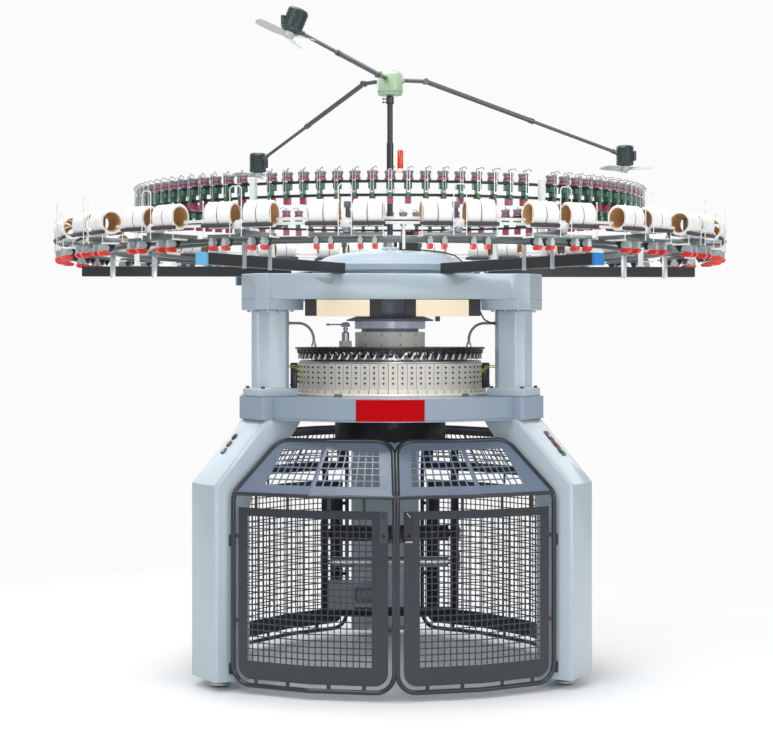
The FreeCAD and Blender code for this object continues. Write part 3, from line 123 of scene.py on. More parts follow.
# ---- shapes ------------------------------------------------------------------
class Shape:
    """Corners and faces in millimetres, gathered before they become one mesh."""

    def __init__(self):
        self.corners = []
        self.faces = []

    def add(self, corners, faces):
        """Corners and faces that count from these corners' first."""
        first = len(self.corners)
        self.corners.extend(Vector(corner) for corner in corners)
        self.faces.extend([first + n for n in face] for face in faces)
        return self

    def join(self, other, matrix=Matrix()):
        """Another shape, placed."""
        return self.add([matrix @ corner for corner in other.corners], other.faces)

    def prism(self, outline, low, high, matrix=Matrix()):
        """A plan outline between two heights."""
        count = len(outline)
        corners = [(x, y, z) for z in (low, high) for x, y in outline]
        faces = [[i, (i + 1) % count, count + (i + 1) % count, count + i] for i in range(count)]
        faces += [list(range(count - 1, -1, -1)), list(range(count, 2 * count))]
        return self.add([matrix @ Vector(corner) for corner in corners], faces)

    def block(self, x0, x1, y0, y1, z0, z1, matrix=Matrix()):
        """A box between two values on each axis."""
        return self.prism([(x0, y0), (x1, y0), (x1, y1), (x0, y1)], z0, z1, matrix)

    def plate(self, outline, holes, low, high, matrix=Matrix()):
        """A plan outline with holes in it, between two heights."""
        loops = [outline] + holes
        points = [point for loop in loops for point in loop]
        count = len(points)
        triangles = tessellate_polygon([[Vector((x, y, 0)) for x, y in loop] for loop in loops])
        corners = [(x, y, z) for z in (low, high) for x, y in points]
        faces = [list(t)[::-1] for t in triangles] + [[count + n for n in t] for t in triangles]
        start = 0
        for loop in loops:
            for i in range(len(loop)):
                a, b = start + i, start + (i + 1) % len(loop)
                faces.append([a, b, count + b, count + a])
            start += len(loop)
        return self.add([matrix @ Vector(corner) for corner in corners], faces)

    def turned(self, outline, sides, matrix=Matrix(), closed=False):
        """A (radius, height) outline turned about the Z axis."""
        corners, rows, faces = [], [], []
        for radius, height in outline:
            if radius < 0.001:
                rows.append([len(corners)] * sides)
                corners.append((0, 0, height))
                continue
            rows.append(list(range(len(corners), len(corners) + sides)))
            for side in range(sides):
                corners.append(polar(radius, 360 * side / sides, height))
        for i in range(len(outline) if closed else len(outline) - 1):
            low, high = rows[i], rows[(i + 1) % len(rows)]
            for side in range(sides):
                after = (side + 1) % sides
                face = list(dict.fromkeys([low[side], low[after], high[after], high[side]]))
                if len(face) > 2:
                    faces.append(face)
        return self.add([matrix @ Vector(corner) for corner in corners], faces)

    def rod(self, start, end, radius, sides=12, end_radius=None, soft=0.0):
        """A round bar between two points, with softened ends if wanted."""
        run = Vector(end) - Vector(start)
        far = radius if end_radius is None else end_radius
        outline = [(0, 0), (radius - soft, 0), (far - soft, run.length), (0, run.length)]
        if soft:
            outline.insert(2, (radius, soft))
            outline.insert(3, (far, run.length - soft))
        return self.turned(outline, sides, aim(start, run))


def circle(radius, sides, centre=(0, 0), start=0.0):
    """A plan circle as (x, y) points."""
    points = [polar(radius, start + 360 * i / sides) for i in range(sides)]
    return [(centre[0] + point.x, centre[1] + point.y) for point in points]


def rounded(width, height, radius, steps=5):
    """A rectangle round the origin with rounded corners, as (x, y) points."""
    points = []
    for index, (sx, sy) in enumerate(((1, 1), (-1, 1), (-1, -1), (1, -1))):
        centre = Vector((sx * (width / 2 - radius), sy * (height / 2 - radius), 0))
        for step in range(steps + 1):
            point = centre + polar(radius, 90 * index + 90 * step / steps)
            points.append((point.x, point.y))
    return points


def ring_outline(inner, outer, low, high, soft=1.5):
    """The closed section of a flat ring with softened outer edges."""
    return [
        (inner, low),
        (outer - soft, low),
        (outer, low + soft),
        (outer, high - soft),
        (outer - soft, high),
        (inner, high),
    ]


# ---- node graphs and the shader arithmetic -----------------------------------
class Value:
    """A shader socket that takes part in Python arithmetic."""

    def __init__(self, graph, socket):
        self.graph = graph
        self.socket = socket

    def math(self, operation, *terms):
        """A Math node's result on these terms."""
        return self.graph.value("ShaderNodeMath", {"operation": operation}, dict(enumerate(terms)))

    def __add__(self, other):
        return self.math("ADD", self, other)

    def __sub__(self, other):
        return self.math("SUBTRACT", self, other)

    def __rsub__(self, other):
        return self.math("SUBTRACT", other, self)

    def __mul__(self, other):
        return self.math("MULTIPLY", self, other)

    def __truediv__(self, other):
        return self.math("DIVIDE", self, other)

    def __pow__(self, other):
        return self.math("POWER", self, other)

    __radd__ = __add__
    __rmul__ = __mul__

    def wave(self):
        """Its sine, between 0 and 1."""
        return self.math("SINE", self) * 0.5 + 0.5


class Graph:
    """A node tree and the one way its nodes are made."""

    def __init__(self, tree):
        self.tree = tree

    def node(self, kind, settings=None, inputs=None):
        """A node of a type: its settings first, then its sockets' values or links."""
        node = self.tree.nodes.new(kind)
        for name, setting in (settings or {}).items():
            setattr(node, name, setting)
        for key, given in (inputs or {}).items():
            if isinstance(given, Value):
                self.tree.links.new(given.socket, node.inputs[key])
            elif isinstance(given, bpy.types.NodeSocket):
                self.tree.links.new(given, node.inputs[key])
            else:
                node.inputs[key].default_value = given
        return node

    def value(self, kind, settings=None, inputs=None, output=0):
        """One output of a new node, ready for arithmetic."""
        return Value(self, self.node(kind, settings, inputs).outputs[output])


class Finish(Graph):
    """A material in the making, on Object coordinates in metres."""

    def __init__(self, name):
        self.material = bpy.data.materials.new(name)
        self.material.use_nodes = True
        super().__init__(self.material.node_tree)
        self.tree.nodes.clear()
        self.place = self.value("ShaderNodeTexCoord", output="Object")
        split = self.node("ShaderNodeSeparateXYZ", inputs={0: self.place})
        self.x, self.y, self.z = (Value(self, socket) for socket in split.outputs)

    def noise(self, scale, detail=2.0, stretch=None):
        """Soft noise; a stretch makes it run out along one axis."""
        place = self.place
        if stretch:
            place = self.value("ShaderNodeMapping", inputs={"Vector": place, "Scale": stretch})
        inputs = {"Vector": place, "Scale": scale, "Detail": detail}
        return self.value("ShaderNodeTexNoise", inputs=inputs)

    def tone(self, factor, first, second):
        """A colour between two."""
        inputs = {0: factor, 6: (*first, 1.0), 7: (*second, 1.0)}
        return self.value("ShaderNodeMix", {"data_type": "RGBA"}, inputs, 2)

    def surface(self, colour, roughness, relief=None, depth=0.0004, **constants):
        """The closing shader; constants go straight onto its sockets."""
        inputs = {"Base Color": colour, "Roughness": roughness}
        inputs.update({name.replace("_", " "): constant for name, constant in constants.items()})
        if relief is not None:
            bump = {"Strength": 0.6, "Distance": depth, "Height": relief}
            inputs["Normal"] = self.value("ShaderNodeBump", inputs=bump)
        shader = self.value("ShaderNodeBsdfPrincipled", inputs=inputs)
        self.node("ShaderNodeOutputMaterial", inputs={"Surface": shader})
        return self.material


def shade(colour, share):
    """A colour made lighter or darker."""
    return tuple(min(part * share, 1.0) for part in colour)


def painted(name, colour, roughness=0.38, coat=0.35, mottle=0.06, glint=0.5):
    """Sprayed paint: faint clouding, fine peel and dust that gathers low down."""
    finish = Finish(name)
    cloud = finish.noise(2.6, 3.0)
    fine = finish.noise(38.0, 2.0)
    tone = finish.tone(cloud * 0.8 + fine * 0.2, shade(colour, 1 - mottle), shade(colour, 1 + mottle))
    gloss = cloud * 0.1 + fine * 0.06 + (roughness - 0.08)
    peel = finish.noise(260.0, 1.0)
    return finish.surface(tone, gloss, peel, 0.0002, Coat_Weight=coat, Coat_Roughness=0.12,
                          Specular_IOR_Level=glint)


def turned_metal(name, colour, roughness=0.3, metallic=0.9, pitch=1400.0):
    """Metal faced on a lathe: fine rings about the machine's axis."""
    finish = Finish(name)
    radius = (finish.x * finish.x + finish.y * finish.y) ** 0.5
    rings = (radius * pitch).wave()
    cloud = finish.noise(5.0, 3.0)
    tone = finish.tone(cloud * 0.7 + rings * 0.3, shade(colour, 0.88), shade(colour, 1.06))
    gloss = rings * 0.08 + cloud * 0.14 + (roughness - 0.1)
    return finish.surface(tone, gloss, rings, 0.0001, Metallic=metallic)


def brushed_metal(name, colour, roughness=0.34, metallic=0.9, stretch=(90.0, 90.0, 3.0)):
    """Metal brushed along one axis, with a little handling wear."""
    finish = Finish(name)
    grain = finish.noise(4.0, 2.0, stretch)
    cloud = finish.noise(6.0, 3.0)
    tone = finish.tone(grain * 0.5 + cloud * 0.5, shade(colour, 0.86), shade(colour, 1.08))
    gloss = grain * 0.14 + cloud * 0.12 + (roughness - 0.12)
    return finish.surface(tone, gloss, grain, 0.0001, Metallic=metallic)


def moulded(name, colour, roughness=0.42, sheen_mottle=0.08, coat=0.0):
    """Moulded plastic or rubber with a fine stipple."""
    finish = Finish(name)
    stipple = finish.noise(420.0, 1.0)
    cloud = finish.noise(9.0, 2.0)
    low, high = shade(colour, 1 - sheen_mottle), shade(colour, 1 + sheen_mottle)
    tone = finish.tone(cloud * 0.8 + stipple * 0.2, low, high)
    gloss = stipple * 0.08 + cloud * 0.1 + (roughness - 0.08)
    return finish.surface(tone, gloss, stipple, 0.00015, Coat_Weight=coat, Coat_Roughness=0.1)


def wound(name, colour):
    """Wound yarn: close turns across the roll's length, from the roll's own UV map."""
    finish = Finish(name)
    winding = finish.node("ShaderNodeUVMap", {"uv_map": "Winding"})
    split = finish.node("ShaderNodeSeparateXYZ", inputs={0: winding.outputs[0]})
    along, about = (Value(finish, split.outputs[i]) for i in (0, 1))
    turns = (along * 3.1 + about * 6.283).wave()
    lay = (along * 0.42 + 1.0).wave()
    fuzz = finish.noise(130.0, 3.0)
    tone = finish.tone(turns * 0.4 + fuzz * 0.4 + lay * 0.2, shade(colour, 0.93), shade(colour, 1.03))
    return finish.surface(tone, fuzz * 0.1 + 0.62, turns + fuzz, 0.0004, Sheen_Weight=0.12)


CHOSEN = {
    # the kind, the material's name and its constants; the colour is the user's
    "leg": (painted, "Leg paint", 0.34, 0.45),
    "bed": (painted, "Bed paint", 0.36, 0.4),
    "beam": (painted, "Top beam paint", 0.34, 0.4),
    "dome": (painted, "Dome paint", 0.45, 0.1),
    "guard": (painted, "Guard paint", 0.33, 0.5, 0.09),
    # a lighter copy of the guard paint: painted light and reflection on the front guards' upward-facing
    # sloped sheets
    "slope": (painted, "Sloped guard paint", 0.3, 0.5, 0.09),
    "arm": (painted, "Creel arm paint", 0.42, 0.25, 0.12),
    "hub": (painted, "Fan hub paint", 0.36, 0.4),
    "motor": (painted, "Fan motor paint", 0.45, 0.15, 0.12),
    "feeder": (moulded, "Feeder green", 0.38, 0.1, 0.2),
    "yarn": (wound, "Wound yarn"),
    "blade": (moulded, "Fan blade white", 0.35, 0.04, 0.2),
}
FIXED = {
    # the kind, the material's name, its colour and its constants
    "cream": (painted, "Ring cream", (226, 221, 208), 0.32, 0.4, 0.04),
    "screen": (moulded, "Screen cream", (240, 223, 194), 0.5, 0.02, 0.1),
    "red plate": (painted, "Plate red", (176, 0, 8), 0.7, 0.0, 0.04, 0.08),
    "black": (moulded, "Moulded black", (24, 23, 24), 0.45, 0.12, 0.1),
    "dark grey": (painted, "Housing grey", (48, 50, 55), 0.42, 0.2, 0.08),
    "mid grey": (painted, "Cast grey", (120, 126, 132), 0.45, 0.15, 0.08),
    "white part": (moulded, "White moulding", (228, 230, 228), 0.36, 0.03, 0.15),
    "rubber": (moulded, "Roller rubber", (38, 38, 40), 0.68, 0.15),
    "cam": (brushed_metal, "Cam box metal", (216, 211, 200), 0.42, 0.2, (60.0, 60.0, 6.0)),
    "bolt": (turned_metal, "Bolt steel", (70, 70, 74), 0.34, 0.8, 900.0),
    "bright bolt": (turned_metal, "Bright bolt steel", (176, 178, 182), 0.28, 0.95, 900.0),
    "steel": (brushed_metal, "Brushed steel", (176, 180, 184), 0.32),
    "dark steel": (turned_metal, "Dark turned steel", (74, 76, 82), 0.3, 0.85),
    "turned steel": (turned_metal, "Turned steel", (188, 190, 192), 0.26),
    "drum": (turned_metal, "Drum metal", (252, 250, 242), 0.5, 0.04),
    "collar": (turned_metal, "Collar metal", (226, 233, 247), 0.26, 0.08),
    "plate": (turned_metal, "Guide plate metal", (62, 54, 50), 0.36, 0.7),
    "guide": (moulded, "Guide brown", (74, 52, 62), 0.3, 0.15, 0.4),
    "hub grey": (turned_metal, "Hub metal", (136, 137, 150), 0.42, 0.05),
    "knob": (moulded, "Knob grey", (178, 180, 188), 0.3, 0.05, 0.3),
    "frame": (painted, "Frame paint", (20, 22, 25), 0.45, 0.1, 0.1, 0.25),
    "latch": (painted, "Latch paint", (46, 57, 64), 0.3, 0.4, 0.09),
    # painted shade for the hollows of the top beam's recessed handles
    "grip": (painted, "Grip hollow", (134, 148, 152), 0.5, 0.1, 0.1),
    "fan tube": (brushed_metal, "Fan arm tube", (98, 100, 103), 0.34, 0.6),
    "ceramic": (moulded, "Guide ceramic", (232, 230, 224), 0.2, 0.03, 0.6),
    "hose": (moulded, "Oil hose", (150, 141, 106), 0.34, 0.12, 0.2),
    "wire green": (moulded, "Wire yellow-green", (170, 178, 44), 0.4, 0.1),
    "cable": (moulded, "Cable black", (26, 27, 30), 0.45, 0.1),
    "blue light": (moulded, "Cap light blue", (96, 176, 214), 0.34, 0.05, 0.2),
    "blue": (moulded, "Cap blue", (8, 116, 190), 0.34, 0.05, 0.2),
    "strap": (brushed_metal, "Strap silver", (206, 210, 212), 0.3, 0.75, (40.0, 40.0, 4.0)),
    "rail": (brushed_metal, "Rail metal", (134, 142, 142), 0.34, 0.8, (8.0, 8.0, 90.0)),
    "ring metal": (turned_metal, "Ring metal", (112, 118, 120), 0.34, 0.8),
    "dark ring": (turned_metal, "Feeder ring metal", (52, 56, 58), 0.38, 0.7),
    "crimson": (moulded, "Crimson part", (160, 52, 84), 0.34, 0.1, 0.3),
    "reel grey": (moulded, "Reel grey", (136, 122, 132), 0.3, 0.08, 0.3),
    "core": (moulded, "Roll core", (196, 156, 106), 0.7, 0.14),
    "drive": (moulded, "Drive roller grey", (58, 56, 62), 0.55, 0.12),
    "clear": (moulded, "Sensor frame", (170, 178, 178), 0.18, 0.08, 0.6),
    "bill": (moulded, "Sensor bill red", (222, 46, 36), 0.32, 0.05, 0.3),
    "wire": (moulded, "Wire white", (226, 228, 224), 0.3, 0.03, 0.3),
    "lamp": (moulded, "Lamp red", (224, 52, 28), 0.2, 0.04, 0.6),
    "button red": (moulded, "Button red", (206, 30, 34), 0.3, 0.04, 0.3),
    "button green": (moulded, "Button green", (44, 150, 84), 0.3, 0.04, 0.3),
}
MADE = {}


def finish(name, colour=None):
    """The material of that name, made once; the user's own colours come with it."""
    if name not in MADE:
        if name in CHOSEN:
            kind, label, *constants = CHOSEN[name]
            paint = tuple(colour)
        else:
            kind, label, display, *constants = FIXED[name]
            paint = srgb(*display)
        MADE[name] = kind(label, paint, *constants)
    return MADE[name]


def made(look):
    """The material of a look, which is a finish's name or already a material."""
    return finish(look) if isinstance(look, str) else look


# ---- pieces ------------------------------------------------------------------
def settled(obj, mesh, material, body, soft=0.0, flat_angle=32.0):
    """Closes a piece: doubles merged, faces outward, edges softened, riding on its body."""
    work = bmesh.new()
    work.from_mesh(mesh)
    bmesh.ops.remove_doubles(work, verts=work.verts, dist=WELD)
    bmesh.ops.recalc_face_normals(work, faces=work.faces)
    work.to_mesh(mesh)
    work.free()
    mesh.shade_smooth()
    obj.data = mesh
    if material is not None:
        mesh.materials.clear()
        mesh.materials.append(made(material))
    if soft:
        edge = obj.modifiers.new("Soft edges", "BEVEL")
        edge.width = soft * MM
        edge.segments = 2
        edge.limit_method = "ANGLE"
        edge.angle_limit = math.radians(flat_angle)
        edge.harden_normals = True
    else:
        mesh.set_sharp_from_angle(angle=math.radians(flat_angle))
    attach(obj, body)
    return obj


def blank(name, mesh):
    """An object with that mesh, linked at the origin."""
    obj = bpy.data.objects.new(name, mesh)
    bpy.context.scene.collection.objects.link(obj)
    return obj


def mesh_of(name, shape):
    """A shape as a mesh in metres."""
    mesh = bpy.data.meshes.new(name)
    mesh.from_pydata([corner * MM for corner in shape.corners], [], shape.faces)
    return mesh


def piece(name, shape, material, body, soft=0.0, replaces=()):
    """One shape as a finished piece."""
    mesh = mesh_of(name, shape)
    obj = settled(blank(name, mesh), mesh, material, body, soft)
    if replaces:
        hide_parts(*replaces)
    return obj


def dressed(node, material, soft=2.0, shown=None):
    """A copy of a CAD node with merged faces and softened edges, which stands for the node."""
    source = FRAME["nodes"][node]
    work = bmesh.new()
    work.from_mesh(source.data)
    work.transform(source.matrix_world)
    bmesh.ops.remove_doubles(work, verts=work.verts, dist=WELD)
    bmesh.ops.dissolve_limit(work, angle_limit=FLAT, verts=work.verts, edges=work.edges)
    shown = shown or node + "_shown"
    mesh = bpy.data.meshes.new(shown)
    work.to_mesh(mesh)
    work.free()
    obj = blank(shown, mesh)
    settled(obj, mesh, material, body_of(source)[0], soft)
    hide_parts(node)
    return obj


# ---- geometry node trees -----------------------------------------------------
def new_tree(name, *inputs):
    """A geometry tree with named inputs, and its graph and start node."""
    tree = bpy.data.node_groups.new(name, "GeometryNodeTree")
    tree.interface.new_socket("Geometry", in_out="INPUT", socket_type="NodeSocketGeometry")
    for label, kind, default in inputs:
        socket = tree.interface.new_socket(label, in_out="INPUT", socket_type="NodeSocket" + kind)
        if default is not None:
            socket.default_value = default
    tree.interface.new_socket("Material", in_out="INPUT", socket_type="NodeSocketMaterial")
    tree.interface.new_socket("Geometry", in_out="OUTPUT", socket_type="NodeSocketGeometry")
    graph = Graph(tree)
    return graph, graph.node("NodeGroupInput")


def close_tree(graph, start, geometry):
    """Realize Instances, Set Material and the output, which end every tree."""
    real = graph.value("GeometryNodeRealizeInstances", inputs={"Geometry": geometry})
    dyed = {"Geometry": real, "Material": start.outputs["Material"]}
    done = graph.value("GeometryNodeSetMaterial", inputs=dyed)
    graph.node("NodeGroupOutput", inputs={0: done})
    return graph.tree


def ring_tree():
    """Copies of a pattern about the machine's axis, leaving out one place in each group."""
    graph, start = new_tree(
        "Ring of parts",
        ("Count", "Int", 12),
        ("Start", "Float", 0.0),
        ("Step", "Float", 30.0),
        ("Group", "Int", 1),
        ("Empty place", "Int", -1),
    )
    names = ("Count", "Start", "Step", "Group", "Empty place")
    given = {name: Value(graph, start.outputs[name]) for name in names}
    places = graph.value("GeometryNodePoints", inputs={"Count": given["Count"]})
    index = graph.value("GeometryNodeInputIndex")
    angle = (index * given["Step"] + given["Start"]) * (math.pi / 180)
    euler = graph.value("ShaderNodeCombineXYZ", inputs={2: angle})
    turn = graph.value("FunctionNodeEulerToRotation", inputs={0: euler})
    place = index.math("FLOORED_MODULO", index, given["Group"])
    full = graph.value(
        "FunctionNodeCompare",
        {"data_type": "INT", "operation": "NOT_EQUAL"},
        {2: place, 3: given["Empty place"]},
    )
    copies = {
        "Points": places,
        "Selection": full,
        "Instance": start.outputs["Geometry"],
        "Rotation": turn,
    }
    return close_tree(graph, start, graph.value("GeometryNodeInstanceOnPoints", inputs=copies))


def grid_tree():
    """Rows and columns of a cell, welded into one perforated sheet."""
    graph, start = new_tree(
        "Rows of cells", ("Columns", "Int", 10), ("Rows", "Int", 10), ("Pitch", "Float", 0.027)
    )
    columns, rows, pitch = (Value(graph, start.outputs[name]) for name in ("Columns", "Rows", "Pitch"))
    sizes = {
        "Size X": (columns - 1) * pitch,
        "Size Y": (rows - 1) * pitch,
        "Vertices X": columns,
        "Vertices Y": rows,
    }
    grid = graph.value("GeometryNodeMeshGrid", inputs=sizes)
    copies = {"Points": grid, "Instance": start.outputs["Geometry"]}
    sheet = graph.value("GeometryNodeInstanceOnPoints", inputs=copies)
    real = graph.value("GeometryNodeRealizeInstances", inputs={"Geometry": sheet})
    welded = graph.value("GeometryNodeMergeByDistance", inputs={"Geometry": real, "Distance": 0.0001})
    return close_tree(graph, start, welded)


def tube_tree():
    """A tube along every line of the mesh, with rounded bends."""
    graph, start = new_tree(
        "Tube along a path", ("Radius", "Float", 0.011), ("Bend", "Float", 0.05), ("Sides", "Int", 12)
    )
    line = graph.value("GeometryNodeMeshToCurve", inputs={"Mesh": start.outputs["Geometry"]})
    bends = {"Curve": line, "Count": 7, "Radius": start.outputs["Bend"], "Limit Radius": True}
    bent = graph.value("GeometryNodeFilletCurve", {"mode": "POLY"}, bends)
    section = {"Resolution": start.outputs["Sides"], "Radius": start.outputs["Radius"]}
    profile = graph.value("GeometryNodeCurvePrimitiveCircle", {"mode": "RADIUS"}, section)
    sweep = {"Curve": bent, "Profile Curve": profile, "Fill Caps": True}
    return close_tree(graph, start, graph.value("GeometryNodeCurveToMesh", inputs=sweep))


TREES = {}


def through(tree_name, mesh, material, **values):
    """The mesh put through a geometry tree, as a plain mesh."""
    makers = {"ring": ring_tree, "grid": grid_tree, "tube": tube_tree}
    if tree_name not in TREES:
        TREES[tree_name] = makers[tree_name]()
    tree = TREES[tree_name]
    carrier = blank("carrier", mesh)
    change = carrier.modifiers.new(tree.name, "NODES")
    change.node_group = tree
    values = {name.replace("_", " "): value for name, value in values.items()}
    values["Material"] = made(material)
    for item in tree.interface.items_tree:
        if item.item_type == "SOCKET" and item.in_out == "INPUT" and item.name in values:
            change[item.identifier] = values[item.name]
    view = bpy.context.evaluated_depsgraph_get()
    result = bpy.data.meshes.new_from_object(
        carrier.evaluated_get(view), preserve_all_data_layers=True, depsgraph=view
    )
    bpy.data.objects.remove(carrier)
    return result


def around(name, shape, material, body, slot, count, start=0.0, step=None, soft=0.0, **places):
    """A pattern built at angle 0, repeated about the machine's axis."""
    step = 360.0 / count if step is None else step
    pattern = mesh_of(name, shape)
    work = bmesh.new()
    work.from_mesh(pattern)
    bmesh.ops.recalc_face_normals(work, faces=work.faces)
    work.to_mesh(pattern)
    work.free()
    values = {"Count": count, "Start": float(start), "Step": float(step), **places}
    mesh = through("ring", pattern, material, **values)
    mesh.name = name
    return settled(blank(name, mesh), mesh, None, body, soft)


def tube(name, lines, radius, bend, material, body, sides=12, closed=False):
    """A tube along one or more lines of points in millimetres."""
    corners, edges = [], []
    for line in lines:
        first = len(corners)
        corners += [Vector(point) * MM for point in line]
        edges += [(first + i, first + i + 1) for i in range(len(line) - 1)]
        if closed:
            edges.append((first + len(line) - 1, first))
    path = bpy.data.meshes.new(name)
    path.from_pydata(corners, edges, [])
    mesh = through("tube", path, material, Radius=radius * MM, Bend=bend * MM, Sides=sides)
    mesh.name = name
    return settled(blank(name, mesh), mesh, None, body, 0.0, 50.0)


# ---- settings ----------------------------------------------------------------
def colour_setting(name, description, colour):
    """A colour that the user may change."""
    return FloatVectorProperty(
        name=name, description=description, subtype="COLOR", size=3, min=0.0, max=1.0, default=colour
    )


class MachineSettings(bpy.types.PropertyGroup):
    """Sizes and colours a user may change before the pieces are built."""

    leg_colour: colour_setting("Legs", "Paint of the legs and columns", srgb(172, 187, 195))
    bed_colour: colour_setting("Bed", "Paint of the bed", srgb(140, 154, 171))
    beam_colour: colour_setting(
        "Top beam", "Paint of the three-lobed beam on the columns", srgb(162, 177, 186)
    )
    dome_colour: colour_setting("Dome", "Paint of the dome on the top beam", srgb(152, 165, 175))
    guard_colour: colour_setting("Guards", "Paint of the guards' frames and sheets", srgb(22, 30, 38))
    # the guard paint lightened as painted light from above, for the front guards' sloped sheets
    slope_lit_colour: colour_setting("Guard tops", "Guard paint made lighter on the sloped sheets as painted light", srgb(96, 108, 126))
    arm_colour: colour_setting("Creel arms", "Paint of the creel's six arms", srgb(27, 29, 31))
    feeder_colour: colour_setting("Feeders", "Colour of the feeder housings", srgb(60, 110, 85))
    yarn_colour: colour_setting("Yarn", "Colour of the wound yarn", srgb(240, 240, 238))
    hub_colour: colour_setting("Fan hub", "Paint of the fan hub", srgb(158, 180, 150))
    motor_colour: colour_setting("Fan motors", "Paint of the fan motors", srgb(45, 62, 62))
    blade_colour: colour_setting("Fan blades", "Colour of the fan blades", srgb(192, 196, 194))
    mesh_pitch: FloatProperty(
        name="Mesh pitch", description="Distance between the holes of the guards' sheets",
        default=28.5 * MM, min=0.012, max=0.08, unit="LENGTH",
    )
    mesh_bar: FloatProperty(
        name="Mesh bar", description="Metal left between two holes",
        default=5.0 * MM, min=0.001, max=0.02, unit="LENGTH",
    )
    guard_tube: FloatProperty(
        name="Guard tube", description="Diameter of the guards' frame tube",
        default=22.0 * MM, min=0.01, max=0.04, unit="LENGTH",
    )
    corner_bend: FloatProperty(
        name="Corner bend", description="Bend of the guards' frame at its corners",
        default=85.0 * MM, min=0.01, max=0.12, unit="LENGTH",
    )
    roll_bore: FloatProperty(
        name="Roll bore", description="Inner diameter of the yarn rolls' cores",
        default=80.0 * MM, min=0.03, max=0.09, unit="LENGTH",
    )
    cam_bolts: IntProperty(
        name="Cam bolts", description="Bolts in the face of each cam box", default=4, min=1, max=6
    )


# ---- places that several pieces share, in millimetres and degrees ------------
ROOT = "machine_frame"
SPIN = "cylinder_drive"
LEG_ANGLES = (330.0, 90.0, 210.0)
FOOT_RADIUS = 917.5          # the levelling feet's places
BED_BOTTOM = 1213.0
RECESS_FLOOR = 1262.0        # the drive gear runs in this recess
BED_TOP = 1318.0
BED_RADIUS = 723.0
COLUMN_RADIUS = 658.0
COLUMN_FOOT_TOP = 1356.0
LOBE_BOTTOM = 1720.0         # underside of the top beam's lobes
BEAM_BOTTOM = 1770.0         # underside of the top beam's web
ARM_BOTTOM, ARM_TOP = 1888.0, 1937.0
DOME_TOP = 2012.0            # the mast stands on it
CAMS = 64                    # cam boxes, guides and fins round the needle head
UNITS = 22                   # roller units round the creel
UNIT_STEP = 360.0 / UNITS
HUB_Z = 2847.0               # level at which the fan arms leave their hub
UPRIGHT = Matrix.Rotation(math.pi / 2, 4, "X")


def bolt(radius, height, sides=8):
    """A socket-head bolt standing on the XY plane."""
    soft = height * 0.2
    outline = [
        (0, 0),
        (radius, 0),
        (radius, height - soft),
        (radius - soft, height),
        (radius * 0.5, height),
        (radius * 0.5, height * 0.5),
        (0, height * 0.5),
    ]
    return Shape().turned(outline, sides)


def bolts(radius, height, places, sides=8):
    """Like bolts, each at its own placement."""
    heads = Shape()
    for place in places:
        heads.join(bolt(radius, height, sides), place)
    return heads


def ribs(outer, inner, starts, steps):
    """Grooves of a turned outline: down and up again, at four steps from each start."""
    radii = (outer, inner, inner, outer)
    return [(radius, start + step) for start in starts for radius, step in zip(radii, steps)]


def shown(node, shape, material, body, slot, soft=0.0):
    """One shape as the finished piece that stands for a CAD node."""
    return piece(node + "_shown", shape, material, body, soft, [node])


def turned_piece(name, outline, look_name, body, replaces=(), sides=ROUND, closed=False):
    """A piece turned about the machine's axis."""
    shape = Shape().turned(outline, sides, closed=closed)
    return piece(name, shape, look_name, body, 0.0, replaces)


# ---- legs and buttons --------------------------------------------------------
SLOPE_WAY = (0.6436, -0.3716, 0.6691)    # square to the right leg's slope
BUTTON_PITCH = 42.0
BUTTON_PLACES = (
    # on the right leg; the left leg's are mirrored
    ("top", (733.357, -365.669, 1129.765)),
    ("middle", (757.694, -379.720, 1098.552)),
    ("bottom", (782.032, -393.771, 1067.339)),
)
BUTTON_LOOKS = {
    "left": (
        ("black", "button_black"),
        ("button red", "button_red"),
        ("bright bolt", "button_silver"),
    ),
    "right": (
        ("bright bolt", "button_silver"),
        ("button red", "button_red"),
        ("button green", "button_green"),
    ),
}


def build_legs(look):
    """The three legs, and the levelling feet under them."""
    for side in ("left", "right", "rear"):
        dressed("leg_" + side, finish("leg", look.leg_colour), 3.0)
    feet = Shape()
    pad = [(0, 0), (46, 0), (50, 4), (50, 12), (44, 16), (24, 20), (16, 22), (16, 34), (0, 34)]
    nut = circle(26, 6)
    for angle in LEG_ANGLES:
        place = Matrix.Translation(polar(FOOT_RADIUS, angle))
        feet.turned(pad, 40, place)
        feet.prism(nut, 24, 33.4, place)
    shown("levelling_feet", feet, "turned steel", ROOT, "foot_steel", 0.8)


def build_buttons(look):
    """Push buttons on the front legs' slopes, with their collars and backing plate."""
    cap = [(0, -2), (11.6, -2), (11.6, 5.2), (10.4, 7.4), (8.2, 8.0), (6.4, 7.2), (0, 7.4)]
    rim = [(12.4, 0.2), (18.5, 0.2), (18.5, 2.4), (16.5, 4.0), (13.4, 4.0), (12.4, 3.0)]
    for side, across in (("left", -1.0), ("right", 1.0)):
        outward = Vector((across * SLOPE_WAY[0], SLOPE_WAY[1], SLOPE_WAY[2]))
        collars = Shape()
        for (level, (x, y, z)), (look_name, slot) in zip(BUTTON_PLACES, BUTTON_LOOKS[side]):
            spot = aim((across * x, y, z), outward)
            button = Shape().turned(cap, 32, spot)
            name = side + "_" + level
            shown("button_" + name, button, look_name, "push_" + name, slot)
            collars.turned(rim, 32, spot, True)
        piece("button_collars_" + side, collars, "dark steel", ROOT)
    backing = Shape()
    holes = [circle(19, 24, (0, shift)) for shift in (-BUTTON_PITCH, 0, BUTTON_PITCH)]
    spot = facing(BUTTON_PLACES[1][1], SLOPE_WAY)
    backing.plate(rounded(50, 150, 10), holes, 0.1, 1.6, spot)
    piece("button_plate_right", backing, "black", ROOT, 0.3)


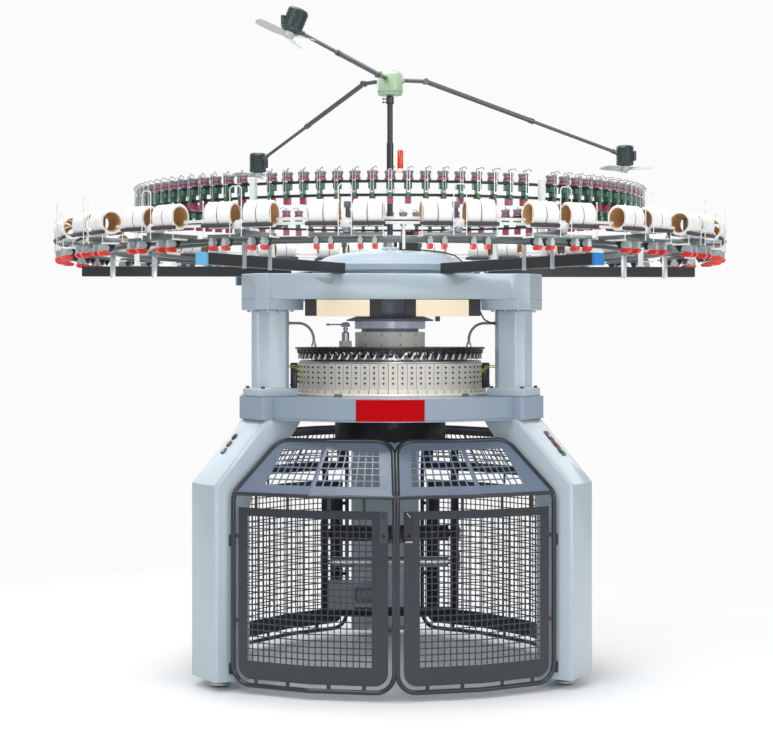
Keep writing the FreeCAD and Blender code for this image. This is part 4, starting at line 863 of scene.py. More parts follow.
# ---- bed ---------------------------------------------------------------------
def bed_outline(radius, reach, half_width, steps=26):
    """Plan outline of a round table with three square lobes."""
    offset = math.degrees(math.asin(half_width / radius))
    root = math.sqrt(radius ** 2 - half_width ** 2)
    sweep = 120 - 2 * offset
    soft = 14.0
    corners = [(root, -half_width), (reach - soft, -half_width), (reach, -half_width + soft)]
    corners += [(reach, half_width - soft), (reach - soft, half_width), (root, half_width)]
    points = []
    for lobe in (-30, 90, 210):
        points += [turn_z(lobe) @ Vector((x, y, 0)) for x, y in corners]
        points += [polar(radius, lobe + offset + sweep * step / steps) for step in range(1, steps)]
    return [(point.x, point.y) for point in points]


def bowed_plate(inner, outer, low, high, middle, step, half_count):
    """A plate bent round the machine's axis, with its middle at a plan angle."""
    count = 2 * half_count
    corners, faces = [], []
    for i in range(count + 1):
        ray = polar(1.0, middle + (i - half_count) * step)
        for radius, z in ((inner, low), (outer, low), (outer, high), (inner, high)):
            corners.append((ray.x * radius, ray.y * radius, z))
    for i in range(count):
        for k in range(4):
            j = (k + 1) % 4
            faces.append([4 * i + k, 4 * i + 4 + k, 4 * i + 4 + j, 4 * i + j])
    end = 4 * count
    faces += [[3, 2, 1, 0], [end, end + 1, end + 2, end + 3]]
    return Shape().add(corners, faces)


def build_bed(look):
    """The bed with its recess and bore, its seam and the red plate on its front."""
    outline = bed_outline(BED_RADIUS, 762.0, 125.0)
    bed = Shape()
    bed.plate(outline, [circle(436, ROUND)], RECESS_FLOOR, BED_TOP)
    bed.plate(outline, [circle(300, ROUND)], BED_BOTTOM, RECESS_FLOOR)
    mesh = mesh_of("bed_plate_shown", bed)
    work = bmesh.new()
    work.from_mesh(mesh)
    bmesh.ops.remove_doubles(work, verts=work.verts, dist=WELD)
    # the two layers share a plane: what both cover is inside, what one covers stays
    doubled = {}
    for face in work.faces:
        doubled.setdefault(frozenset(v.index for v in face.verts), []).append(face)
    inner = [face for faces in doubled.values() if len(faces) > 1 for face in faces]
    bmesh.ops.delete(work, geom=inner, context="FACES_ONLY")
    work.to_mesh(mesh)
    work.free()
    bed_paint = finish("bed", look.bed_colour)
    obj = settled(blank("bed_plate_shown", mesh), mesh, bed_paint, ROOT)
    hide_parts("bed_plate")
    plate = bowed_plate(723.4, 725.4, BED_BOTTOM + 4, BED_TOP - 4, 268.3, 1.02, 12)
    piece("bed_front_plate", plate, "red plate", ROOT, 0.5)
    seam = ring_outline(722.4, 723.5, 1221.0, 1222.4, 0.2)
    turned_piece("bed_seam", seam, "dark grey", ROOT, closed=True)


# ---- columns and top beam ----------------------------------------------------
def build_columns(look):
    """The three columns, the bolts in their feet and the bolts under the beam's lobes."""
    dressed("columns", finish("leg", look.leg_colour), 5.0)
    corners = product((-78.0, 78.0), (-78.0, 78.0))
    places = [Matrix.Translation((COLUMN_RADIUS + x, y, COLUMN_FOOT_TOP)) for x, y in corners]
    heads = bolts(9, 10, places, 12)
    around("column_foot_bolts", heads, "bolt", ROOT, "column_paint", 3, 90.0)
    flip = Matrix.Rotation(math.pi, 4, "X")
    spots = product((-64.0, 0.0, 64.0), (-94.0, 94.0))
    places = [Matrix.Translation((COLUMN_RADIUS + x, y, LOBE_BOTTOM)) @ flip for x, y in spots]
    under = bolts(8, 9, places, 12)
    around("beam_lobe_bolts", under, "bright bolt", ROOT, "crown_paint", 3, 90.0)


def build_top_beam(look):
    """The three-lobed beam on the columns, the dome on it and the display boxes in front."""
    dressed("crown", finish("beam", look.beam_colour), 4.0, "top_beam_shown")
    seams = Shape()
    low, high = BEAM_BOTTOM - 1.0, BEAM_BOTTOM + 1.2
    for y in (-115.4, 115):
        seams.block(560, 728, y, y + 0.4, low, high)
    seams.block(773, 773.4, -70, 70, low, high)
    around("beam_seams", seams, "mid grey", ROOT, "crown_paint", 3, 90.0)
    # thin darker plates on the beam's front: painted shade of its recessed handles' hollows, which are
    # not cut into the beam
    hollow_shades = Shape()
    front = facing((0, -444.2, 1856), (0, -1, 0))
    hollow = [(272, 8), (276, -16), (296, -18), (332, -2), (364, 13), (312, 12)]
    hollow_shades.plate(hollow, [], 0, 1.2, front)
    hollow_shades.plate([(-x, y) for x, y in reversed(hollow)], [], 0, 1.2, front)
    piece("beam_hollow_shades", hollow_shades, "grip", ROOT, 0.6)
    dome = [
        (0, 1888.4), (360, 1888.4), (360, 1906), (376, 1907), (380, 1911), (380, 1937), (376, 1941),
        (371, 1942), (350, 1958), (322, 1976), (296, 1987.6), (240, 1998), (190, 2005.5), (150, 2010),
        (120, DOME_TOP), (0, DOME_TOP),
    ]
    shell = Shape().turned(dome, 120)
    dome_paint = finish("dome", look.dome_colour)
    piece("dome_shown", shell, dome_paint, ROOT, 0.0, ["crown_dome"])
    cable = [
        (120, -70, 2019), (180, -110, 2010), (250, -160, 1999), (300, -230, 1982), (330, -300, 1950),
        (352, -330, 1925), (372, -372, 1899),
    ]
    tube("dome_cable", [cable], 3.5, 30.0, "cable", ROOT, 8)
    dressed("display_boxes", "black", 3.0)
    panels = Shape()
    for left in (-352, 106):
        panels.block(left, left + 244, -447, -444, 1690, 1767)
    piece("display_panels", panels, "screen", ROOT, 1.0)


# ---- knitting head -----------------------------------------------------------
CAM_OUTER, CAM_INNER = 446.5, 382.5
CAM_TOP = 1470.0
PLATE_BOTTOM, PLATE_TOP = 1536.0, 1547.0     # the guide plate
ADJUSTER_ANGLE = 196.0
ADJUSTER_RADIUS = 226.0


def build_cylinder():
    """The drive gear, the needle cylinder on it and its needles."""
    dressed("drive_gear", "dark steel", 1.0)
    wall = [
        (352, 1292.6), (379, 1292.6), (381, 1296), (381, 1474), (379, 1478), (354, 1478), (352, 1474),
    ]
    turned_piece("needle_cylinder_shown", wall, "turned steel", SPIN,
                 ["needle_cylinder"], closed=True)
    needle = Shape().block(369, 371.6, -0.8, 0.8, 1477, 1486)
    around("needles", needle, "bright bolt", SPIN, "cylinder_steel", 300)


def build_base_ring():
    """The cream ring under the cam boxes, with its slits and clamps."""
    base = [
        (390.5, 1318.2), (487, 1318.2), (489, 1320), (489, 1326), (487, 1328), (470, 1328.4),
        (467, 1331), (467, 1346), (465, 1348), (390.5, 1348),
    ]
    turned_piece("cam_base_ring_shown", base, "cream", ROOT, ["cam_base_ring"],
                 ROUND * 2, True)
    slit = Shape().block(466.2, 467.5, -1.6, 1.6, 1332, 1347)
    around("base_ring_slits", slit, "dark steel", ROOT, "ring_cream", CAMS, 180.0 / CAMS)
    clamp = Shape()
    clamp.block(489.2, 494, -21, -3, 1319, 1331)
    clamp.block(489.2, 494, 1, 21, 1319, 1331)
    around("base_ring_clamps", clamp, "mid grey", ROOT, "ring_cream", 5, 239.0, 75.0, 0.8)


def build_cams(look):
    """The ring over the cam boxes, the boxes and the bolts in their faces."""
    rim = [(392, 1470.3), (441, 1470.3), (443, 1472), (443, 1479), (441, 1481), (392, 1481)]
    turned_piece("cam_top_ring", rim, "steel", ROOT, (), ROUND * 2, True)
    half_gap, soft = 0.7, 1.5
    half_out = CAM_OUTER * math.tan(math.pi / CAMS) - half_gap
    half_in = CAM_INNER * math.tan(math.pi / CAMS) - half_gap
    face = [
        (CAM_INNER, -half_in),
        (CAM_OUTER - 1, -half_out),
        (CAM_OUTER, -half_out + soft),
        (CAM_OUTER, half_out - soft),
        (CAM_OUTER - 1, half_out),
        (CAM_INNER, half_in),
    ]
    cam = Shape().prism(face, 1348, CAM_TOP)
    cams = around("cam_boxes_shown", cam, "cam", ROOT, "cam_metal", CAMS, soft=1.2)
    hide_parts("cam_boxes")
    first, span = 1379.0, 73.5
    levels = [first + span * i / max(look.cam_bolts - 1, 1) for i in range(look.cam_bolts)]
    heads = bolts(5.2, 3.2, [aim((CAM_OUTER - 0.1, 0, z), (1, 0, 0)) for z in levels])
    around("cam_bolts", heads, "bolt", ROOT, "cam_metal", CAMS)


def build_guides():
    """The guide plate over the cam boxes, with the yarn guides, teeth and fins under it."""
    plate = [
        (60, PLATE_BOTTOM), (459, PLATE_BOTTOM), (461, 1538), (461, 1545), (459, PLATE_TOP),
        (60, PLATE_TOP),
    ]
    turned_piece("guide_plate_shown", plate, "plate", ROOT, ["guide_plate"],
                 ROUND * 2, True)
    profile = [
        (428, PLATE_BOTTOM), (450, PLATE_BOTTOM), (450, 1524), (434, 1500), (430, 1487), (426, 1487),
        (424, 1510),
    ]
    guide = Shape().prism(profile, -5, 5, UPRIGHT)
    guides = around("yarn_guides_shown", guide, "guide", ROOT, "guide_ceramic", CAMS, soft=0.8)
    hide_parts("yarn_guides")
    teeth = Shape()
    teeth.block(440, 452, -9, 9, 1517, PLATE_BOTTOM - 0.3)
    teeth.block(440, 449, 12, 31, 1522, PLATE_BOTTOM - 0.3)
    around("guide_teeth", teeth, "black", ROOT, "guide_ceramic", CAMS, soft=0.8)
    spot = facing((443.0, 0, 1500.0), (1, 0, 0))
    fins = Shape().plate([(-9, -10), (4, -10), (11, 15), (7, 15)], [], 0, 4, spot)
    around("guide_fins", fins, "ceramic", ROOT, "guide_ceramic", CAMS, soft=0.6)
    # a dark copy of each fin, set behind it and to one side: a painted shadow of the fin
    fin_shadows = Shape().plate([(11, -8), (22, -8), (26, 14), (17, 14)], [], -3, 1, spot)
    around("guide_fin_shadows", fin_shadows, "guide", ROOT, "guide_ceramic", CAMS, soft=0.6)


def build_dial():
    """The dial, the drum over it and the stepped support up to the top beam."""
    disc = [
        (0, 1484), (366, 1484), (368, 1486), (368, 1498), (366, 1500), (332, 1500), (330, 1503),
        (96, 1503), (94, 1500.5), (60, 1500.5), (60, 1535.7), (0, 1535.7),
    ]
    turned_piece("dial_shown", disc, "turned steel", "needle_dial", ["dial"])
    drum = [(0, 1547.2), (168, 1547.2), (170, 1549), (170, 1617), (168, 1619.6), (0, 1619.6)]
    turned_piece("dial_drum_shown", drum, "drum", ROOT, ["dial_drum"])
    studs = bolts(3.4, 2.4, [aim((169.6, 0, z), (1, 0, 0)) for z in (1560, 1606)])
    around("drum_bolts", studs, "bolt", ROOT, "drum_metal", 12, 15.0)
    dark = Shape()
    dark.turned([(0, 1619.6), (137, 1619.6), (139, 1621), (139, 1634.8), (0, 1634.8)], ROUND)
    flare = [
        (0, 1672.6), (209, 1672.6), (212, 1674.6), (212, 1679), (152, 1699), (150, 1699.6), (0, 1699.6),
    ]
    dark.turned(flare, ROUND)
    piece("hub_dark_rings", dark, "hub grey", ROOT, 0.0, ["dial_support"])
    collar = [(0, 1634.8), (169, 1634.8), (172, 1637), (172, 1669), (168, 1672.6), (0, 1672.6)]
    turned_piece("hub_collar", collar, "collar", ROOT)
    neck = [
        (0, 1699.6), (132, 1699.6), (132, 1706), (122, 1710), (118, 1768), (130, BEAM_BOTTOM),
        (0, BEAM_BOTTOM),
    ]
    turned_piece("hub_neck", neck, "hub grey", ROOT)
    head = bolts(6, 6, [Matrix.Translation((186, 0, 1679.5))], 10)
    around("hub_neck_bolts", head, "bolt", ROOT, "hub_paint", 12, 15.0)


def build_display_cable():
    """The sensor under the right display box, and its cable to the column."""
    sensor = Shape().block(196, 218, -438, -418, 1667, 1692.8)
    piece("display_sensor", sensor, "black", ROOT, 1.5)
    cable = [(404, -428, 1712), (424, -404, 1676), (462, -346, 1660), polar(582, 327, 1657)]
    tube("display_cable", [cable], 3.6, 40.0, "cable", ROOT, 10)


def build_adjuster():
    """The dial's adjuster: block, post and a knob with its small lever."""
    turn = turn_z(ADJUSTER_ANGLE)
    block = Shape().block(202, 250, -30, 30, PLATE_TOP, 1577, turn)
    piece("adjuster_block", block, "white part", ROOT, 2.0, ["dial_adjuster"])
    place = turn @ Matrix.Translation((ADJUSTER_RADIUS, 0, 0))
    outline = [
        (0, 1577), (18, 1577), (18, 1615), (15, 1618), (9, 1621), (9, 1628), (12, 1630), (12, 1637),
        (9, 1639), (9, 1643), (0, 1643),
    ]
    post = Shape().turned(outline, 24, place)
    piece("adjuster_post", post, "steel", ROOT)
    lever_z = 1655
    cap = [(0, 1643.4), (18, 1643.4), (22, 1647), (22, 1654), (18, 1662), (10, 1666.4), (0, 1667.2)]
    knob = Shape().turned(cap, 28, place)
    knob.rod(turn @ Vector((236, 0, lever_z)), turn @ Vector((318, 0, lever_z)), 4, 10, 3.2)
    knob.rod(turn @ Vector((306, 0, lever_z)), turn @ Vector((322, 0, lever_z)), 5.8, 12, 5.8, 1.6)
    shown("adjuster_handle", knob, "knob", "handle", "handle_black")


def build_head(look):
    """Everything between the bed and the top beam but the columns and hoses."""
    build_cylinder()
    build_base_ring()
    build_cams(look)
    build_guides()
    build_dial()
    build_display_cable()
    build_adjuster()
    dressed("cam_side_blocks", "dark grey", 3.0)
    spots = product((-20.0, 20.0), (1362.0, 1456.0))
    screws = bolts(5, 4, [aim((483.5, y, z), (1, 0, 0)) for y, z in spots])
    around("side_block_bolts", screws, "bright bolt", ROOT, "housing_grey", 2, 0.0)


HOSE_START, HOSE_END = 581, 425          # from the column to the guide plate, as plan radii
HOSE_Z = 1660
WIRE_SHIFTS = ((0.0, 1362.0), (1.6, 1376.0))     # degrees beside the column, and the end's level


def build_hoses(look):
    """Two oil hoses with their nuts, and the thin wires beside them."""
    lines, nuts = [], Shape()
    for angle in (210, 330):
        lines.append([polar(HOSE_START, angle, HOSE_Z), polar(HOSE_END, angle, HOSE_Z),
                      polar(HOSE_END, angle, PLATE_TOP)])
        ends = ((HOSE_START, HOSE_Z, polar(-1, angle)), (HOSE_END, PLATE_TOP, (0, 0, 1)))
        for radius, z, direction in ends:
            spot = aim(polar(radius, angle, z), direction)
            nuts.prism(circle(13, 6), 0, 12, spot)
            nuts.turned([(0, 12), (10.5, 12), (9, 24), (0, 24)], 16, spot)
    hoses = tube("oil_hoses_shown", lines, 6.4, 80.0, "hose", ROOT, 16)
    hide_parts("oil_hoses")
    piece("hose_nuts", nuts, "bright bolt", ROOT, 0.6)
    wires = []
    for angle, sign in ((210.0, 1.0), (330.0, -1.0)):
        for shift, low in WIRE_SHIFTS:
            beside = angle + shift * sign
            wires.append([
                polar(HOSE_START, beside, 1452 + 6 * shift),
                polar(532, beside, 1452 + 5 * shift),
                polar(497, angle + (1 + shift) * sign, 1430),
                polar(490, angle + (2 + shift) * sign, low),
            ])
    tube("head_wires", wires, 2.2, 30.0, "wire green", ROOT, 8)


# ---- take-down ---------------------------------------------------------------
ROLLER_REACH = 299.7
NIP_Z, CLOTH_Z = 640.0, 500.0
ARM_FACE = 330.2             # outside of the take-down's arms


def roller(radius, y, z, count):
    """A roller along X between the take-down's arms, with turned grooves."""
    neck, reach = radius * 0.45, ROLLER_REACH
    start = -reach + 16
    middles = [start + (2 * -start) * i / count for i in range(1, count)]
    outline = [(0, -reach), (neck, -reach), (neck, -reach + 14)]
    outline += [(radius - 2, start), (radius, start + 2)]
    outline += ribs(radius, radius - 1.4, middles, (-3, -1.5, 1.5, 3))
    outline += [(radius, -start - 2), (radius - 2, -start)]
    outline += [(neck, reach - 14), (neck, reach), (0, reach)]
    return Shape().turned(outline, 48, aim((0, y, z), (1, 0, 0)))


def gear_outline(radius, teeth):
    """A spur gear's plan outline."""
    root = radius - 4
    points = []
    for tooth in range(teeth):
        for share, r in ((0, root), (0.3, root), (0.45, radius), (0.8, radius)):
            points.append(polar(r, 360 * (tooth + share) / teeth))
    return [(point.x, point.y) for point in points]


def build_takedown(look):
    """The frame that turns under the bed, its three rollers, gear box, motor and gears."""
    dressed("takedown_frame", "frame", 2.5)
    low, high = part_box("takedown_roller_front")
    nip_y = (low.y + high.y) / 2 / MM
    for name, y in (("front", nip_y), ("rear", -nip_y)):
        node = "takedown_roller_" + name
        shown(node, roller(34.0, y, NIP_Z, 12), "rubber", "nip_roller_" + name, "roller_rubber")
    shown("cloth_roller", roller(26.0, 0.0, CLOTH_Z, 3), "turned steel", "cloth_beam", "roller_steel")
    case = Shape().block(-300, -170, -60, 60, 276, 406)
    case.block(-306, -300.5, -40, 40, 290, 392)
    shown("takedown_gearbox", case, "mid grey", SPIN, "gearbox_paint", 4.0)
    outline = [(0, -170), (30, -170), (30, -164), (42, -162)]
    outline += ribs(42, 37, [-156 + i * 10.5 for i in range(9)], (0, 1.5, 6, 7.5))
    outline += [(42, -58), (38, -52), (38, -42), (34, -40), (0, -40)]
    motor = Shape().turned(outline, 36, aim((0, 0, 341), (1, 0, 0)))
    motor.block(-140, -80, -22, 22, 376, 404)
    piece("takedown_motor", motor, "mid grey", SPIN)
    gears = Shape()
    for y, z, radius, teeth in ((-36.5, NIP_Z, 33, 24), (36.5, NIP_Z, 33, 24), (0, CLOTH_Z, 46, 30)):
        gears.prism(gear_outline(radius, teeth), 0, 10, aim((ARM_FACE, y, z), (1, 0, 0)))
    piece("takedown_gears", gears, "steel", SPIN, 0.5)
    covers = Shape()
    for radius, z in ((60, NIP_Z), (44, CLOTH_Z)):
        covers.prism(circle(radius, 40), 0, 8, aim((-ARM_FACE, 0, z), (-1, 0, 0)))
    piece("takedown_covers", covers, "black", SPIN, 1.5)


# ---- guards ------------------------------------------------------------------
GUARD_LINES = {
    # fold line and top line in plan, from the meeting end to the hinge end
    "front": (((7, -842), (382.74, -765.6), (725.94, -594.64)),
              ((7, -650.02), (295.47, -591.04), (518.92, -479.73))),
    "rear": (((204, 926), (499.41, 712.67), (729.19, 421), (854.4, 51.34), (877.94, -331.36)), None),
}
REAR_TOP_SHARE = 0.772       # the rear guards' top line against their fold line
FOOT_Z = 31.0                # bottom rail
SLOT_Z = 828.0               # top of the lower sheets, with a slot up to the fold
FOLD_Z = 889.0
BROW_Z = 1124.0              # top rail
SHEET_GAP = 28.0             # from the frame's middle to the sheets
SHEET_HALF = 1.5             # half of a sheet's thickness
SHEET_CORNER = 60.0
SHEET_EDGES = (52.0, 30.0, 78.0, 34.0)   # no holes so near the first end, last end, foot and top
SLOPE_PITCH = 32.0           # distance between the slopes' holes
SLOPE_EDGES = ((62.0, 62.0), (118.0, 56.0))      # the same at a slope's meeting and hinge ends
BEND_EDGES = (8.0, 8.0)      # and at a bend, below and above
SIDE_TABS = (260.0, 640.0)


def foot_corner(x, start):
    """A rounded foot corner of a lower sheet, as (x, y) points round a centre at x."""
    centre = Vector((x, SHEET_CORNER, 0))
    points = [centre + polar(SHEET_CORNER, start + 15 * step) for step in range(7)]
    return [(point.x, point.y) for point in points]


def sheet_facet(shape, cells, width, ends, place, look):
    """One flat part of a lower sheet, with a grid of cells that runs on over the bends.

    The ends say whether it is the sheet's first and whether it is its last part.
    """
    pitch = look.mesh_pitch / MM
    height = SLOT_Z - FOOT_Z - SHEET_GAP
    first, last = ends
    near, far, bottom, top = SHEET_EDGES
    columns = int((width - near * first - far * last) / pitch)
    rows = int((height - bottom - top) / pitch)
    spare = width - columns * pitch
    left = spare if first else 0.0 if last else spare / 2
    right = left + columns * pitch
    low = (height - top + bottom - rows * pitch) / 2
    high = low + rows * pitch
    if first:
        path = foot_corner(SHEET_CORNER, 180) + [(width, 0.0)]
        path += [(right, low), (left, low), (left, high), (right, high), (width, height), (0.0, height)]
        parts = [path]
    elif last:
        path = [(0.0, 0.0)] + foot_corner(width - SHEET_CORNER, 270) + [(width, height), (0.0, height)]
        path += [(left, high), (right, high), (right, low), (left, low)]
        parts = [path]
    else:
        parts = [
            [(0, 0), (width, 0), (width, low), (0, low)],
            [(0, high), (width, high), (width, height), (0, height)],
            [(0, low), (left, low), (left, high), (0, high)],
            [(right, low), (width, low), (width, high), (right, high)],
        ]
    for part in parts:
        shape.plate(part, [], -SHEET_HALF, SHEET_HALF, place)
    centre = Vector(((left + right) / 2, (low + high) / 2, 0))
    cells.append((columns, rows, place @ Matrix.Translation(centre), None))


def sheet_tabs(tabs, width, ends, shares, place):
    """The tabs that hold one part of a lower sheet in its frame."""
    first, last = ends
    height = SLOT_Z - FOOT_Z - SHEET_GAP
    reach = FOLD_Z - FOOT_Z - SHEET_GAP
    for share in shares:
        middle = width * share
        tabs.block(middle - 9, middle + 9, -SHEET_GAP + 4, 4, -SHEET_HALF, SHEET_HALF, place)
        tabs.block(middle - 7, middle + 7, height - 4, reach, -SHEET_HALF, SHEET_HALF, place)
    sides = [(-SHEET_GAP + 4, 4.0)] if first else []
    if last:
        sides.append((width - 4.0, width + SHEET_GAP - 4))
    for (x0, x1), y in product(sides, SIDE_TABS):
        tabs.block(x0, x1, y - 9, y + 9, -SHEET_HALF, SHEET_HALF, place)


def slope_facet(shape, cells, fold, top, ends):
    """One flat part of an upper sheet, between two points of the fold and two of the top rail."""
    place, height = facet_place(fold[0], fold[1], FOLD_Z, top[0], BROW_Z)
    length = (lifted(fold[1], 0) - lifted(fold[0], 0)).length
    flat = place.inverted()
    start, end = ((flat @ lifted(point, BROW_Z)).x for point in top)
    # the part leans in: its four corners in its own plane
    quad = [(0.0, 6.0), (length, 6.0), (end, height - 4), (start, height - 4)]
    low, high = height * 0.17, height * 0.84
    sides = []
    edges = ((0.0, start, 1), (length, end, -1))
    for (foot, head, sign), outer, insets in zip(edges, ends, SLOPE_EDGES):
        for y, inset in zip((low, high), insets if outer else BEND_EDGES):
            sides.append((foot + (head - foot) * y / height + sign * inset, y))
    low_left, high_left, low_right, high_right = sides
    window = [low_left, high_left, high_right, low_right]
    shape.plate(quad, [window], -SHEET_HALF, SHEET_HALF, place)
    width = (high_right[0] + low_right[0] - high_left[0] - low_left[0]) / 2
    cells.append((round(width / SLOPE_PITCH), round((high - low) / SLOPE_PITCH), place, window))


def cell_shape(look):
    """One cell of a perforated sheet, open at its outer sides so that neighbours weld."""
    half = look.mesh_pitch / MM / 2
    hole = half - look.mesh_bar / MM / 2
    corners = []
    for z in (-SHEET_HALF, SHEET_HALF):
        for reach in (half, hole):
            corners += [(-reach, -reach, z), (reach, -reach, z), (reach, reach, z), (-reach, reach, z)]
    faces = []
    for k in range(4):
        j = (k + 1) % 4
        faces.append([k, 4 + k, 4 + j, j])
        faces.append([8 + k, 8 + j, 12 + j, 12 + k])
        faces.append([4 + k, 12 + k, 12 + j, 4 + j])
    return Shape().add(corners, faces)


def fitted(part, columns, rows, window, pitch):
    """Stretch a flat grid of cells to a four-sided window."""
    low_left, high_left, high_right, low_right = (Vector((x, y, 0)) * MM for x, y in window)
    for vertex in part.verts:
        u = vertex.co.x / (columns * pitch) + 0.5
        v = vertex.co.y / (rows * pitch) + 0.5
        low = low_left * (1 - u) + low_right * u
        high = high_left * (1 - u) + high_right * u
        spot = low * (1 - v) + high * v
        vertex.co = Vector((spot.x, spot.y, vertex.co.z))


def perforated(name, cells, material, body, look):
    """All the cell grids of one guard as one closed mesh."""
    whole = bmesh.new()
    for columns, rows, place, window in cells:
        pattern = mesh_of(name, cell_shape(look))
        sheet = through("grid", pattern, material, Columns=columns, Rows=rows, Pitch=look.mesh_pitch)
        part = bmesh.new()
        part.from_mesh(sheet)
        edges = [edge for edge in part.edges if edge.is_boundary]
        bmesh.ops.bridge_loops(part, edges=edges)
        if window:
            fitted(part, columns, rows, window, look.mesh_pitch)
        scaled = place.copy()
        scaled.translation = place.translation * MM
        part.transform(scaled)
        part.to_mesh(sheet)
        part.free()
        whole.from_mesh(sheet)
    mesh = bpy.data.meshes.new(name)
    whole.to_mesh(mesh)
    whole.free()
    return settled(blank(name, mesh), mesh, material, body)


def lifted(point, z):
    """A plan point at a level."""
    return Vector((point[0], point[1], z))


def facet_place(start, end, low_z, top_start=None, top_z=None):
    """Placement of a facet whose X runs along the guard and Y up it, and its sloping height."""
    along = (lifted(end, 0) - lifted(start, 0)).normalized()
    up = Vector((0, 0, 1))
    height = None
    if top_start is not None:
        rise = lifted(top_start, top_z) - lifted(start, low_z)
        across = rise - along * rise.dot(along)
        up = across.normalized()
        height = across.length
    out = along.cross(up)
    turn = Matrix((along, up, out)).transposed().to_4x4()
    return Matrix.Translation(lifted(start, low_z)) @ turn, height


def build_guard(name, fold, top, look):
    """One guard: bent tube frame, perforated sheets on tabs, and the slot under the fold."""
    node, body, slot = "guard_" + name, "door_" + name, "guard_slate"
    guard = finish("guard", look.guard_colour)
    # the front guards' sloped sheets take a lighter copy of the guard paint as painted light from
    # above; the rear ones keep the guard paint
    slope = finish("slope", look.slope_lit_colour) if name.startswith("front") else guard
    radius = look.guard_tube / MM / 2
    loop = [lifted(p, FOOT_Z) for p in fold] + [lifted(fold[-1], FOLD_Z)]
    loop += [lifted(p, BROW_Z) for p in top[::-1]] + [lifted(fold[0], FOLD_Z)]
    frame = tube(node + "_tube", [loop], radius, look.corner_bend / MM, guard, body, 16, True)
    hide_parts(node)
    rail = [lifted(p, FOLD_Z) for p in fold]
    tube(node + "_rail", [rail], radius * 0.8, 60.0, guard, body, 12)

    lower, lower_cells, upper, upper_cells, tabs = Shape(), [], Shape(), [], Shape()
    parts = len(fold) - 1
    shares = (0.3, 0.75) if parts == 2 else (0.5,)
    for i in range(parts):
        ends = (i == 0, i == parts - 1)
        place, _ = facet_place(fold[i], fold[i + 1], FOOT_Z + SHEET_GAP)
        place = place @ Matrix.Translation((SHEET_GAP * ends[0], 0, 0))
        width = (lifted(fold[i + 1], 0) - lifted(fold[i], 0)).length - SHEET_GAP * sum(ends)
        sheet_facet(lower, lower_cells, width, ends, place, look)
        sheet_tabs(tabs, width, ends, shares, place)
        slope_facet(upper, upper_cells, fold[i:i + 2], top[i:i + 2], ends)
    piece(node + "_sheet", lower, guard, body, 0.4)
    piece(node + "_tabs", tabs, guard, body, 0.4)
    perforated(node + "_mesh", lower_cells, guard, body, look)
    piece(node + "_slope", upper, slope, body, 0.4)
    perforated(node + "_slope_mesh", upper_cells, slope, body, look)


def build_latch(side, across, look_name):
    """The paddle latch on one front guard; the right one has a spring on it."""
    node, body, slot = "latch_" + side, "paddle_" + side, "latch_black"
    start = Vector((across * 32.84, -838.58, 760))
    run = Vector((across * 0.98, 0.1993, 0))
    outward = Vector((across * 0.1993, -0.98, 0))
    place = facing(start + run * 18 + outward * 17.5, outward)
    paddle = Shape()
    face = 5.5
    hole = circle(7, 12, (0, -38))
    paddle.plate(rounded(36, 136, 6), [hole], -face, face, place)
    shown(node, paddle, look_name, body, slot, 1.5)
    screw = bolts(8, 4, [place @ Matrix.Translation((0, 48, face - 0.2))], 16)
    screw.block(-1.6, 1.6, -54, -38, face - 0.2, face + 0.5, place)
    piece(node + "_screw", screw, "bolt", body)
    if side == "right":
        low, high = place @ Vector((7, 44, 8.5)), place @ Vector((-9, 64, 8.5))
        spring = Shape().rod(high, low, 2.6, 10, 2.6, 0.8)
        spring.block(-17, 17, -67, -60, face - 0.2, face + 3, place)
        piece("latch_spring", spring, "bright bolt", body, 0.6)


def mirrored(line):
    """A plan line on the machine's other side."""
    return tuple((-x, y) for x, y in line)


def build_guards(look):
    """The four guards with their hinges, and the latches of the front pair."""
    fold, top = GUARD_LINES["front"]
    build_guard("front_right", fold, top, look)
    build_guard("front_left", mirrored(fold), mirrored(top), look)
    fold, _ = GUARD_LINES["rear"]
    top = tuple((x * REAR_TOP_SHARE, y * REAR_TOP_SHARE) for x, y in fold)
    # the top's meeting end stands straight over the fold's, clear of the rear leg
    top = ((fold[0][0], top[0][1] - 20.0),) + top[1:]
    build_guard("rear_right", fold, top, look)
    build_guard("rear_left", mirrored(fold), mirrored(top), look)
    dressed("guard_hinges", "dark grey", 1.5)
    build_latch("right", 1.0, "black")
    build_latch("left", -1.0, "latch")


# ---- yarn creel --------------------------------------------------------------
ARM_START = 480.0            # the drawn arms leave the dome free, as in the photograph
SIDE_END, LONG_END = 1490.0, 1602.0      # the arms to the sides are shorter than the other four
ARM_HALF = 24.5              # half the arms' width
ARM_CAPS = (("left", (240.0, 120.0), "blue light"), ("right", (300.0, 60.0), "blue"))
FEEDERS, POSTS = 102, 6      # places round the feeder rings, and posts that take some of them
INNER_RING, OUTER_RING = 1140.0, 1340.0
FEEDER_RING = 1200.0


